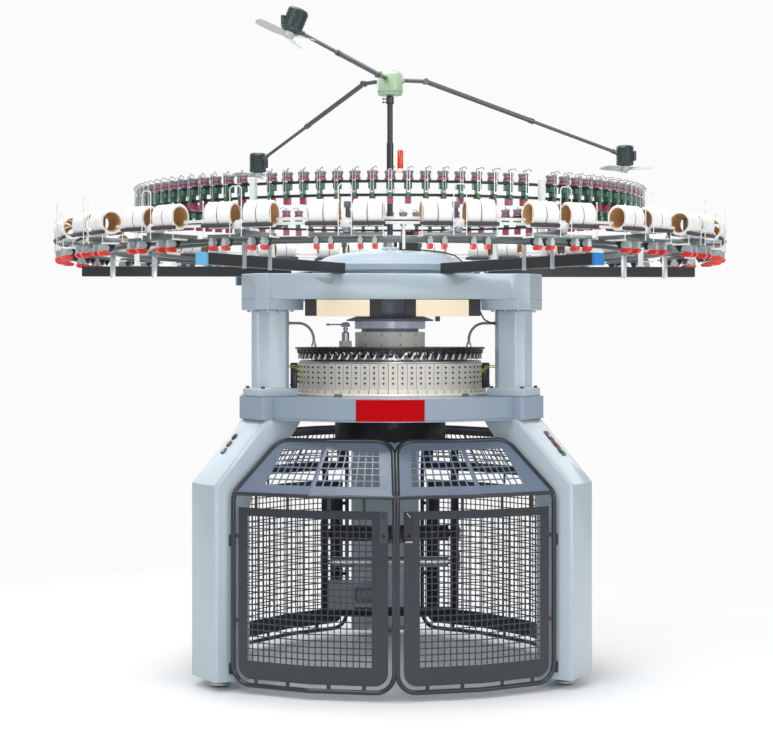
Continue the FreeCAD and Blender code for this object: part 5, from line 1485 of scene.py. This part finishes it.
def build_creel(look):
    """The creel's arms with their caps, hangers, rings and feeder posts."""
    beams = Shape()
    for angle in range(0, 360, 60):
        end = LONG_END if angle % 180 else SIDE_END
        beams.block(ARM_START, end, -ARM_HALF, ARM_HALF, ARM_BOTTOM, ARM_TOP, turn_z(angle))
    arm = finish("arm", look.arm_colour)
    shown("creel_arms", beams, arm, ROOT, "arm_black", 2.5)
    low, high, half = ARM_BOTTOM - 1.1, ARM_TOP + 1.1, ARM_HALF + 1.1
    for name, angles, look_name in ARM_CAPS:
        caps = Shape()
        for angle in angles:
            caps.block(LONG_END - 1, LONG_END + 18, -half, half, low, high, turn_z(angle))
        piece("arm_caps_" + name, caps, look_name, ROOT, 2.0)
    dressed("ring_hangers", "strap", 1.0)
    foot = Shape().block(1118, 1162, -30, 30, ARM_TOP, ARM_TOP + 6)
    foot.join(bolt(5, 5), Matrix.Translation((INNER_RING, 0, ARM_TOP + 6)))
    around("hanger_feet", foot, "strap", ROOT, "strap_silver", POSTS, soft=0.6)
    ring_sets = (
        ("creel_rings", "ring metal", "ring_metal", (
            ring_outline(INNER_RING - 13, INNER_RING + 13, 1992.2, 2009.8),
            ring_outline(OUTER_RING - 13, OUTER_RING + 13, 1992.2, 2009.8))),
        ("feeder_rings", "dark ring", "feeder_ring_metal", (
            ring_outline(FEEDER_RING - 15, FEEDER_RING + 15, 2183.0, 2192.8),
            ring_outline(FEEDER_RING - 15, FEEDER_RING + 15, 2240.2, 2250.0))),
    )
    for node, look_name, slot, sections in ring_sets:
        rings = Shape()
        for section in sections:
            rings.turned(section, ROUND * 2, closed=True)
        shown(node, rings, look_name, ROOT, slot)
    post = Shape().block(1215.2, 1239, -12, 12, ARM_TOP, 2268)
    post.block(1209, 1245, -18, 18, ARM_TOP, ARM_TOP + 8)
    around("feeder_posts", post, "white part", ROOT, "feeder_ring_metal", POSTS, soft=1.5)


def build_feeders(look):
    """Storage feeders between and above the two feeder rings, with a gap at each post."""
    places = {"count": FEEDERS, "Group": FEEDERS // POSTS, "Empty_place": 0}
    green = finish("feeder", look.feeder_colour)
    outline = [(1180, -15), (1214, -17), (1222, -11), (1224, 0), (1222, 11), (1214, 17), (1180, 15)]
    body = Shape().prism(outline, 2214, 2240)
    body.prism([(1192, -8), (1222, -10), (1222, 10), (1192, 8)], 2193.2, 2214)
    body.prism([(1216, -9), (1226, -7), (1226, 7), (1216, 9)], 2176, 2196)
    bodies = around("feeder_bodies_shown", body, green, ROOT, "feeder_green", soft=2.0, **places)
    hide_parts("feeder_bodies")
    bracket = Shape()
    for y in (-7, 4):
        bracket.block(1227.5, 1230, y, y + 3, 2196, 2296)
    bracket.block(1218, 1230, -7, 7, 2293, 2296)
    bracket.block(1227.5, 1230, -4, 4, 2196, 2204)
    wheel = [(0, 2246), (11, 2246), (11, 2250.5), (0, 2250.5)]
    bracket.turned(wheel, 10, Matrix.Translation((1220, 0, 0)))
    around("feeder_brackets", bracket, "strap", ROOT, "reel_grey", **places)
    clamp = Shape().block(1186, 1216, -13, 13, 2152, 2182)
    around("feeder_clamps", clamp, "crimson", ROOT, "reel_grey", soft=2.5, **places)
    spot = Matrix.Translation((FEEDER_RING, 0, 0))
    head = [(0, 2268), (22, 2268), (22, 2278), (25, 2280), (25, 2287), (21, 2290), (0, 2290)]
    reel = Shape().turned(head, 14, spot)
    reel.turned([(0, 2250.4), (22, 2250.4), (25, 2253), (25, 2258), (0, 2258)], 14, spot)
    reels = around("feeder_reels_shown", reel, "reel grey", ROOT, "reel_grey", **places)
    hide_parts("feeder_reels")
    collar = [(0, 2258), (23.6, 2258), (23.6, 2263), (20.5, 2265), (20.5, 2268), (0, 2268)]
    band = Shape().turned(collar, 14, spot)
    around("feeder_reel_bands", band, "crimson", ROOT, "reel_grey", **places)
    wire = Shape()
    wire.rod((FEEDER_RING, 0, 2290), (FEEDER_RING, 0, 2302), 1.5, 6)
    wire.rod((FEEDER_RING, 0, 2301), (1226, 16, 2306), 1.3, 6)
    wire.rod((1226, 16, 2306), (1236, 20, 2296), 1.3, 6)
    around("feeder_wires", wire, "dark ring", ROOT, "reel_grey", **places)


# ---- roller units ------------------------------------------------------------
DRIVE_RADII = (1505.25, 1594.75)
DRIVE_Z = 2044
ROLL_RADIUS, ROLL_Z = 1550.0, 2088.77    # the axis of the yarn rolls
ROLL_CENTRES = (-88.0, 88.0)
CORE_HALF = 59.0             # half the length of the core under a pair of rolls
SENSOR_PLACES = (-117.0, -59.0, 59.0, 117.0)
AT_UNITS = {"count": UNITS, "start": 270.0 + UNIT_STEP / 2}


def uv_rolls(shape, name, axis_radius, axis_height):
    """The mesh of roll pieces with a Winding map: length along the roll, turn about its axis."""
    mesh = mesh_of(name, shape)
    layer = mesh.uv_layers.new(name="Winding")
    for face in mesh.polygons:
        turns = []
        for corner in face.vertices:
            point = mesh.vertices[corner].co
            turns.append(math.atan2(point.z - axis_height * MM, point.x - axis_radius * MM) / math.tau)
        if max(turns) - min(turns) > 0.5:
            turns = [turn + 1.0 if turn < 0 else turn for turn in turns]
        for loop, corner, turn in zip(face.loop_indices, face.vertices, turns):
            layer.data[loop].uv = (mesh.vertices[corner].co.y / MM, turn)
    return mesh


def build_rolls(look):
    """The yarn rolls in pairs on their cores, with a thin spacer in each pair."""
    bore = look.roll_bore / MM / 2
    section = [(bore + 3, -28), (51.5, -28), (54.5, -24.5), (54.5, 24.5), (51.5, 28), (bore + 3, 28)]
    spacer = [(bore + 3.4, -1.7), (52, -1.7), (52, 1.7), (bore + 3.4, 1.7)]
    core = [(bore, -CORE_HALF), (bore + 3.2, -CORE_HALF), (bore + 3.2, CORE_HALF), (bore, CORE_HALF)]
    discs, gaps, cores = Shape(), Shape(), Shape()
    for centre in ROLL_CENTRES:
        spot = aim((ROLL_RADIUS, centre, ROLL_Z), (0, 1, 0))
        for shift in (-30, 30):
            discs.turned([(r, h + shift) for r, h in section], 28, spot, True)
        gaps.turned(spacer, 28, spot, True)
        cores.turned(core, 28, spot, True)
    pattern = uv_rolls(discs, "yarn_rolls_shown", ROLL_RADIUS, ROLL_Z)
    values = {"Count": UNITS, "Start": AT_UNITS["start"], "Step": UNIT_STEP}
    mesh = through("ring", pattern, finish("yarn", look.yarn_colour), **values)
    mesh.name = "yarn_rolls_shown"
    rolls = settled(blank("yarn_rolls_shown", mesh), mesh, None, ROOT)
    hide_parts("yarn_rolls")
    around("roll_spacers", gaps, "reel grey", ROOT, "yarn_white", **AT_UNITS)
    around("roll_cores", cores, "core", ROOT, "yarn_white", **AT_UNITS)


def build_sensors():
    """The stop sensors under the units: clear frames, red bills and dark wedges."""
    body = [(1544, 1984), (1592, 1984), (1589, 1966), (1556, 1966)]
    beak = [(1546, 1955), (1566, 1964), (1598, 1962), (1602, 1954), (1590, 1943), (1556, 1943)]
    arms, bills, wedges = Shape(), Shape(), Shape()
    for y in SENSOR_PLACES:
        arms.prism(body, -y - 6, -y + 6, UPRIGHT)
        bills.prism(beak, -y - 9, -y + 9, UPRIGHT)
        wedges.prism([(1520, 1992), (1556, 1992), (1540, 1962)], -y - 7, -y + 7, UPRIGHT)
        arms.block(1532, 1596, y - 5, y + 5, 1984.2, 1993)
        arms.block(1592.2, 1596, y - 9, y + 9, 1962.5, 1983.8)
        arms.rod((1560, y - 6, 1990), (1597, y - 8, 1956), 1.3, 5)
        arms.rod((1560, y + 6, 1990), (1597, y + 8, 1956), 1.3, 5)
    sensors = around("stop_sensors_shown", arms, "clear", ROOT, "sensor_clear", **AT_UNITS)
    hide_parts("stop_sensors")
    around("sensor_bills", bills, "bill", ROOT, "sensor_clear", soft=1.5, **AT_UNITS)
    around("sensor_wedges", wedges, "black", ROOT, "sensor_clear", soft=1.0, **AT_UNITS)


def build_units(look):
    """The roller units: frames, gear boxes, drive rollers, yarn rolls, stop sensors and wires."""
    dressed("unit_frames", "rail", 1.5)
    dressed("unit_gear_boxes", "white part", 3.0)
    outline = [(0, 20), (4, 20), (4, 26), (7.5, 26), (8.5, 28), (8.5, 158), (7.5, 160), (0, 160)]
    drive = Shape()
    for radius, sign in product(DRIVE_RADII, (-1, 1)):
        drive.turned(outline, 16, aim((radius, 0, DRIVE_Z), (0, sign, 0)))
    drives = around("drive_rollers_shown", drive, "drive", ROOT, "drive_dark", **AT_UNITS)
    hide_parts("drive_rollers")
    build_rolls(look)

    lids = Shape().block(1530, 1572, -19, 19, 2058, 2066)
    for x in (1540, 1562):
        lids.join(bolt(4.5, 3.5), Matrix.Translation((x, 0, 2066)))
    around("gear_box_lids", lids, "white part", ROOT, "gear_box_white", soft=1.5, **AT_UNITS)
    stays = Shape().rod((1520, 0, 2062), (1520, 0, 2130), 9, 12)
    stays.block(1508, 1532, -14, 14, 2112, 2136)
    around("unit_stays", stays, "ring metal", ROOT, "unit_dark", soft=1.2, **AT_UNITS)
    build_sensors()

    loops = []
    for i in range(UNITS):
        turn = turn_z(AT_UNITS["start"] + UNIT_STEP * i)
        corners = [(1603, -26, 1996), (1603, -26, 2200), (1603, 26, 2200), (1603, 26, 1996)]
        loops.append([turn @ Vector(point) for point in corners])
    tube("unit_wire_loops", loops, 2.2, 16.0, "wire", ROOT, 6)
    ball = [(0, -4), (3, -3), (4, 0), (3, 3), (0, 4)]
    ends = Shape()
    for y in (-152, 152):
        ends.rod((1596, y, 1996), (1596, y, 2138), 2, 6)
        ends.turned(ball, 8, Matrix.Translation((1596, y, 2141)))
        ends.block(1520, 1600, y - 3, y + 3, 1992, 1999)
    around("unit_end_rods", ends, "wire", ROOT, "unit_dark", **AT_UNITS)
    links = Shape()
    half = ROLL_RADIUS * math.sin(math.radians(UNIT_STEP / 2)) - 147.0
    for low in (2062, 2044):
        links.block(1530, 1536, -half, half, low, low + 12)
    around("unit_links", links, "white part", ROOT, "unit_dark", UNITS, 270.0, soft=0.8)
    post = Shape().rod((1500, 8, 2010), (1500, 8, 2048), 6, 10)
    post.block(1494, 1508, 2, 14, 1946, 2044)
    around("front_post", post, "white part", ROOT, "unit_dark", 1, 270.0, soft=0.8)


# ---- mast and fans -----------------------------------------------------------
FANS = {
    # elbow, where the arm meets the motor, the motor's middle, and the way the blades face
    "front": ((-60.973, -169.359, HUB_Z), (-428.735, -1207.213, 2871.066),
              (-434.939, -1208.091, 2910), (-0.371, -0.052, -0.927)),
    "right": ((174.653, 43.546, HUB_Z), (1200.256, 299.257, 2513),
              (1200.256, 299.257, 2513), (0, 0, -1)),
    "rear": ((-125.039, 129.481, HUB_Z), (-673.819, 697.76, 2511),
             (-673.819, 697.76, 2511), (0, 0, -1)),
}
BLADE_STATIONS = (
    # distance from the shaft, half width and pitch in degrees
    (15, 15, 26), (45, 24, 22), (85, 30, 18), (120, 31, 15), (142, 27, 14), (149, 16, 13),
)
BLADE_HEIGHT = 66            # the blades' level on the motor's shaft


def blade_shape():
    """One pitched, twisted fan blade along X, about 3 mm thick."""
    corners = []
    for x, half, pitch in BLADE_STATIONS:
        cos, sin = math.cos(math.radians(pitch)), math.sin(math.radians(pitch))
        for y, z in ((-half, -1.2), (0, -2.2), (half, -1.2), (half, 1.2), (0, 0.6), (-half, 1.2)):
            corners.append((x, y * cos - z * sin, y * sin + z * cos))
    faces = [[5, 4, 3, 2, 1, 0]]
    base = len(corners) - 6
    for i in range(0, base, 6):
        for k in range(6):
            j = (k + 1) % 6
            faces.append([i + k, i + j, i + 6 + j, i + 6 + k])
    faces.append([base + k for k in range(6)])
    return Shape().add(corners, faces)


def build_mast(look):
    """The mast with its foot, motor, clamp and lamp, and the fan hub on its top."""
    foot = Shape().block(-40, 40, -40, 40, DOME_TOP, 2030)
    foot.turned([(0, 2030), (36, 2030), (34, 2060), (24, 2072), (0, 2072)], 32)
    piece("mast_foot", foot, "bright bolt", ROOT, 2.0, ["mast"])
    motor = Shape().block(44, 136, -34, 34, DOME_TOP, 2060)
    outline = [(0, 2060), (30, 2060)] + ribs(30, 27, [2066 + i * 9 for i in range(4)], (0, 2, 5, 7))
    outline += [(30, 2108), (22, 2118), (0, 2118)]
    motor.turned(outline, 28, Matrix.Translation((90, 0, 0)))
    piece("mast_motor", motor, "black", ROOT, 1.5)
    mast = Shape().turned([(0, 2072), (14, 2072), (14, 2318), (0, 2318)], 28)
    upper = [(0, 2320), (17, 2320), (17, 2538), (15, 2540), (14, 2541), (14, 2769), (0, 2769)]
    mast.turned(upper, 28)
    mast.turned([(14, 2728), (19, 2730), (19, 2764), (14, 2766)], 24, closed=True)
    for z in (2738, 2754):
        mast.rod((-18, 0, z), (-32, 0, z), 2.6, 10)
        mast.rod((-30, 0, z), (-37, 0, z), 5, 12, 5, 1)
    piece("mast_tube", mast, "dark steel", ROOT)
    cone = [(15, 2296), (19, 2296), (27, 2318), (27, 2324), (15, 2324)]
    turned_piece("mast_collar", cone, "white part", ROOT, (), 28, True)

    beside = Matrix.Translation((50, 0, 0))
    glass = [(0, 2414), (14, 2414), (15, 2416), (15, 2500), (12, 2505), (0, 2506)]
    lamp = Shape().turned(glass, 28, beside)
    shown("signal_lamp", lamp, "lamp", ROOT, "lamp_red")
    socket = [(0, 2398), (17, 2398), (17, 2412), (14, 2414.5), (0, 2414.5)]
    base = Shape().turned(socket, 28, beside)
    base.block(16, 36, -8, 8, 2399, 2410)
    piece("lamp_base", base, "screen", ROOT)

    outline = [
        (0, 2769.5), (52, 2769.5), (58, 2772), (60, 2784), (64, 2790), (64, 2866), (60, 2874),
        (50, 2884), (20, 2886.2), (0, 2886.2),
    ]
    hub, stubs = Shape().turned(outline, 48), Shape()
    level = Vector((0, 0, HUB_Z))
    for elbow, *_ in FANS.values():
        out = Vector((elbow[0], elbow[1], 0)).normalized()
        hub.rod(level + out * 56, level + out * 70, 16, 20)
        stubs.rod(level + out * 60, level + out * 163, 10, 20)
    piece("fan_hub_stubs", stubs, "fan tube", "fan_head")
    hub_paint = finish("hub", look.hub_colour)
    shown("fan_hub", hub, hub_paint, "fan_head", "hub_green")
    caps = bolts(5, 5, [Matrix.Translation(polar(36, 60 * i, 2885)) for i in range(6)], 10)
    piece("fan_hub_bolts", caps, "bright bolt", "fan_head")


def fan_arm(elbow, meeting, run):
    """A fan's two-part arm between its elbow and its motor, with the clamps on it."""
    end = meeting - run * 38
    middle = elbow + (end - elbow) * 0.55
    across = Vector((-elbow.y, elbow.x, 0)).normalized()
    clamp = end - run * 20
    arm = Shape()
    arm.rod(elbow + run * 8, middle, 12, 20, 12, 1)
    arm.rod(middle - run * 24, middle + run * 4, 14, 20, 14, 1.5)
    arm.rod(middle, end + run * 6, 8.5, 18)
    arm.rod(elbow - across * 15, elbow + across * 15, 14.5, 24, 14.5, 1.5)
    arm.rod(end - run * 40, end, 11.5, 18, 11.5, 2)
    arm.rod(clamp - across * 17, clamp + across * 17, 6, 12, 6, 1)
    return arm, across


def build_fans(look):
    """The three fan arms, each with a ribbed motor, its screws and three blades."""
    blade = blade_shape()
    outline = [(0, -52), (30, -52), (40, -49), (43, -44)]
    outline += ribs(45, 41.5, [-38 + i * 9.5 for i in range(8)], (0, 1.5, 5, 6.5))
    outline += [(43, 44), (38, 50), (16, 52), (0, 52)]
    nose = [(0, 53), (24, 53), (24, 70), (20, 76), (10, 79), (0, 79.3)]
    for name, places in FANS.items():
        elbow, meeting, centre, down = (Vector(place) for place in places)
        body = "arm_" + name
        run = (meeting - elbow).normalized()
        arm, across = fan_arm(elbow, meeting, run)
        node = "fan_arm_" + name
        piece(node + "_tube", arm, "fan tube", body, 0.0, [node])
        turn = aim(centre, down)
        motor = Shape().turned(outline, 36, turn)
        side = facing(centre, Vector((run.x, run.y, 0)).normalized() if name == "right" else -across)
        motor.block(-20, 20, -24, 24, 40, 54, side)
        paint = finish("motor", look.motor_colour)
        piece("fan_motor_" + name, motor, paint, body, 0.0)
        spots = product((-15, 15), (-19, 19))
        screws = bolts(2.6, 2, [side @ Matrix.Translation((x, y, 53.6)) for x, y in spots])
        piece("fan_motor_screws_" + name, screws, "bright bolt", body)
        fan = Shape().turned(nose, 28, turn)
        for angle in (0, 120, 240):
            fan.join(blade, turn @ Matrix.Translation((0, 0, BLADE_HEIGHT)) @ turn_z(angle))
        node = "fan_blades_" + name
        white = finish("blade", look.blade_colour)
        shown(node, fan, white, "blades_" + name, "blade_white")


# ---- stage, in metres --------------------------------------------------------
CAMERA_DISTANCE, CAMERA_HEIGHT = 8.4, 1.59
CAMERA_TURN = 1.8            # degrees
FOCAL_PIXELS, PICTURE_WIDTH = 1724.5, 773.0
SENSOR_WIDTH = 36.0
LAMP_TARGET = Vector((0, 0, 1.3))
LAMPS = (
    # name, place, side and power
    ("Key", (-3.6, -5.8, 5.6), 3.0, 150.0),
    ("Front", (0.6, -7.5, 1.5), 2.4, 72.0),
    ("Fill", (5.0, -5.2, 3.4), 3.6, 120.0),
    ("Top", (-0.4, -0.6, 6.4), 4.0, 330.0),
    ("Back left", (-5.2, 5.6, 4.4), 4.0, 82.0),
    ("Back right", (5.2, 5.6, 4.4), 4.0, 66.0),
    ("Back", (-1.0, 6.0, 4.0), 4.0, 82.0),
)
BACKDROP = (0.965, 0.965, 0.965, 1)
SHADOW_REACH, FADE_WIDTH = 1.6, 2.4      # the floor fades into the backdrop from here, over this


def make_camera():
    """The camera from which the photograph was taken."""
    lens = bpy.data.cameras.new("Camera")
    lens.sensor_width = SENSOR_WIDTH
    lens.lens = FOCAL_PIXELS * SENSOR_WIDTH / PICTURE_WIDTH
    lens.shift_x = -3.5 / PICTURE_WIDTH
    lens.shift_y = -32.0 / PICTURE_WIDTH
    camera = blank("Camera", lens)
    yaw = math.radians(CAMERA_TURN)
    x, y = -CAMERA_DISTANCE * math.sin(yaw), -CAMERA_DISTANCE * math.cos(yaw)
    camera.location = (x, y, CAMERA_HEIGHT)
    camera.rotation_euler = (math.pi / 2, 0.0, -yaw)
    return camera


def make_world():
    """A pale backdrop for the camera, and a dimmer sky that lights the machine."""
    world = bpy.data.worlds.new("Surroundings")
    world.use_nodes = True
    graph = Graph(world.node_tree)
    graph.tree.nodes.clear()
    path = graph.node("ShaderNodeLightPath")
    seen = Value(graph, path.outputs["Is Camera Ray"])
    lit = graph.value("ShaderNodeBackground", inputs={"Color": (0.86, 0.9, 0.95, 1), "Strength": 0.5})
    backdrop = graph.value("ShaderNodeBackground", inputs={"Color": BACKDROP, "Strength": 1.0})
    sky = graph.value("ShaderNodeMixShader", inputs={0: seen, 1: lit, 2: backdrop})
    graph.node("ShaderNodeOutputWorld", inputs={"Surface": sky})
    return world


def make_floor():
    """A pale round floor that takes the shadow and fades into the backdrop."""
    mesh = mesh_of("Floor", Shape().turned([(0, -12), (9000, -12), (9000, -10), (0, -10)], 64))
    floor = blank("Floor", mesh)
    pale = Finish("Floor pale")
    distance = (pale.x * pale.x + pale.y * pale.y) ** 0.5
    near = (distance - SHADOW_REACH) / FADE_WIDTH
    fade = near.math("MINIMUM", near.math("MAXIMUM", near, 0.0), 1.0)
    matt = pale.value("ShaderNodeBsdfDiffuse", inputs={"Color": (0.86, 0.86, 0.86, 1)})
    flat = pale.value("ShaderNodeEmission", inputs={"Color": BACKDROP, "Strength": 1.0})
    blend = pale.value("ShaderNodeMixShader", inputs={0: fade, 1: matt, 2: flat})
    pale.node("ShaderNodeOutputMaterial", inputs={"Surface": blend})
    mesh.materials.append(pale.material)
    return floor


def build_stage(look):
    """Camera, lamps, floor and surroundings of the photograph."""
    scene = bpy.context.scene
    scene.view_settings.view_transform = "Standard"
    scene.camera = make_camera()
    for name, place, size, power in LAMPS:
        lamp = bpy.data.lights.new(name, "AREA")
        lamp.size = size
        lamp.energy = power
        obj = blank(name, lamp)
        obj.location = place
        toward = LAMP_TARGET - Vector(place)
        obj.rotation_euler = toward.to_track_quat("-Z", "Y").to_euler()
    scene.world = make_world()
    make_floor()


# ---- the add-on --------------------------------------------------------------
def operator(idname, label, words, build):
    """An operator class, with the words as its docstring, that runs one builder on the settings."""

    def execute(self, context):
        build(context.scene.knitting_machine)
        return {"FINISHED"}

    parts = {"bl_idname": "knitting." + idname, "bl_label": label, "__doc__": words, "execute": execute}
    return type("KNITTING_OT_" + idname, (bpy.types.Operator,), parts)


OPERATORS = (
    operator("legs", "Legs", "Builds the three legs and their levelling feet", build_legs),
    operator("buttons", "Buttons", "Builds the push buttons on the front legs", build_buttons),
    operator("bed", "Bed", "Builds the bed and its front plate", build_bed),
    operator("columns", "Columns", "Builds the three columns with their bolts", build_columns),
    operator("top_beam", "Top beam", "Builds the top beam, dome and display boxes", build_top_beam),
    operator("head", "Knitting head", "Builds the cylinder, cams, guides, dial and drum", build_head),
    operator("hoses", "Hoses", "Builds the oil hoses and the wires", build_hoses),
    operator("takedown", "Take-down", "Builds the take-down frame and its rollers", build_takedown),
    operator("guards", "Guards", "Builds the four perforated guards and their latches", build_guards),
    operator("creel", "Creel", "Builds the creel's arms, rings and posts", build_creel),
    operator("feeders", "Feeders", "Builds the yarn feeders on their rings", build_feeders),
    operator("units", "Roller units", "Builds the roller units with their yarn rolls", build_units),
    operator("mast", "Mast", "Builds the mast, its lamp and the fan hub", build_mast),
    operator("fans", "Fans", "Builds the three fan arms with motors and blades", build_fans),
    operator("stage", "Stage", "Sets up the camera, lamps, floor and surroundings", build_stage),
)


class KNITTING_PT_panel(bpy.types.Panel):
    """Lists the settings and the builders."""

    bl_label = "Knitting machine"
    bl_idname = "KNITTING_PT_panel"
    bl_space_type = "VIEW_3D"
    bl_region_type = "UI"
    bl_category = "Knitting machine"

    def draw(self, context):
        look = context.scene.knitting_machine
        for name in MachineSettings.__annotations__:
            self.layout.prop(look, name)
        for kind in OPERATORS:
            self.layout.operator(kind.bl_idname)


CLASSES = (MachineSettings, *OPERATORS, KNITTING_PT_panel)


def register():
    for kind in CLASSES:
        bpy.utils.register_class(kind)
    bpy.types.Scene.knitting_machine = PointerProperty(type=MachineSettings)


def unregister():
    del bpy.types.Scene.knitting_machine
    for kind in reversed(CLASSES):
        bpy.utils.unregister_class(kind)


def main():
    """Registers the classes, builds every piece and writes the two boxes."""
    register()
    for kind in OPERATORS:
        group, name = kind.bl_idname.split(".")
        getattr(getattr(bpy.ops, group), name)()


if __name__ == "__main__":
    main()
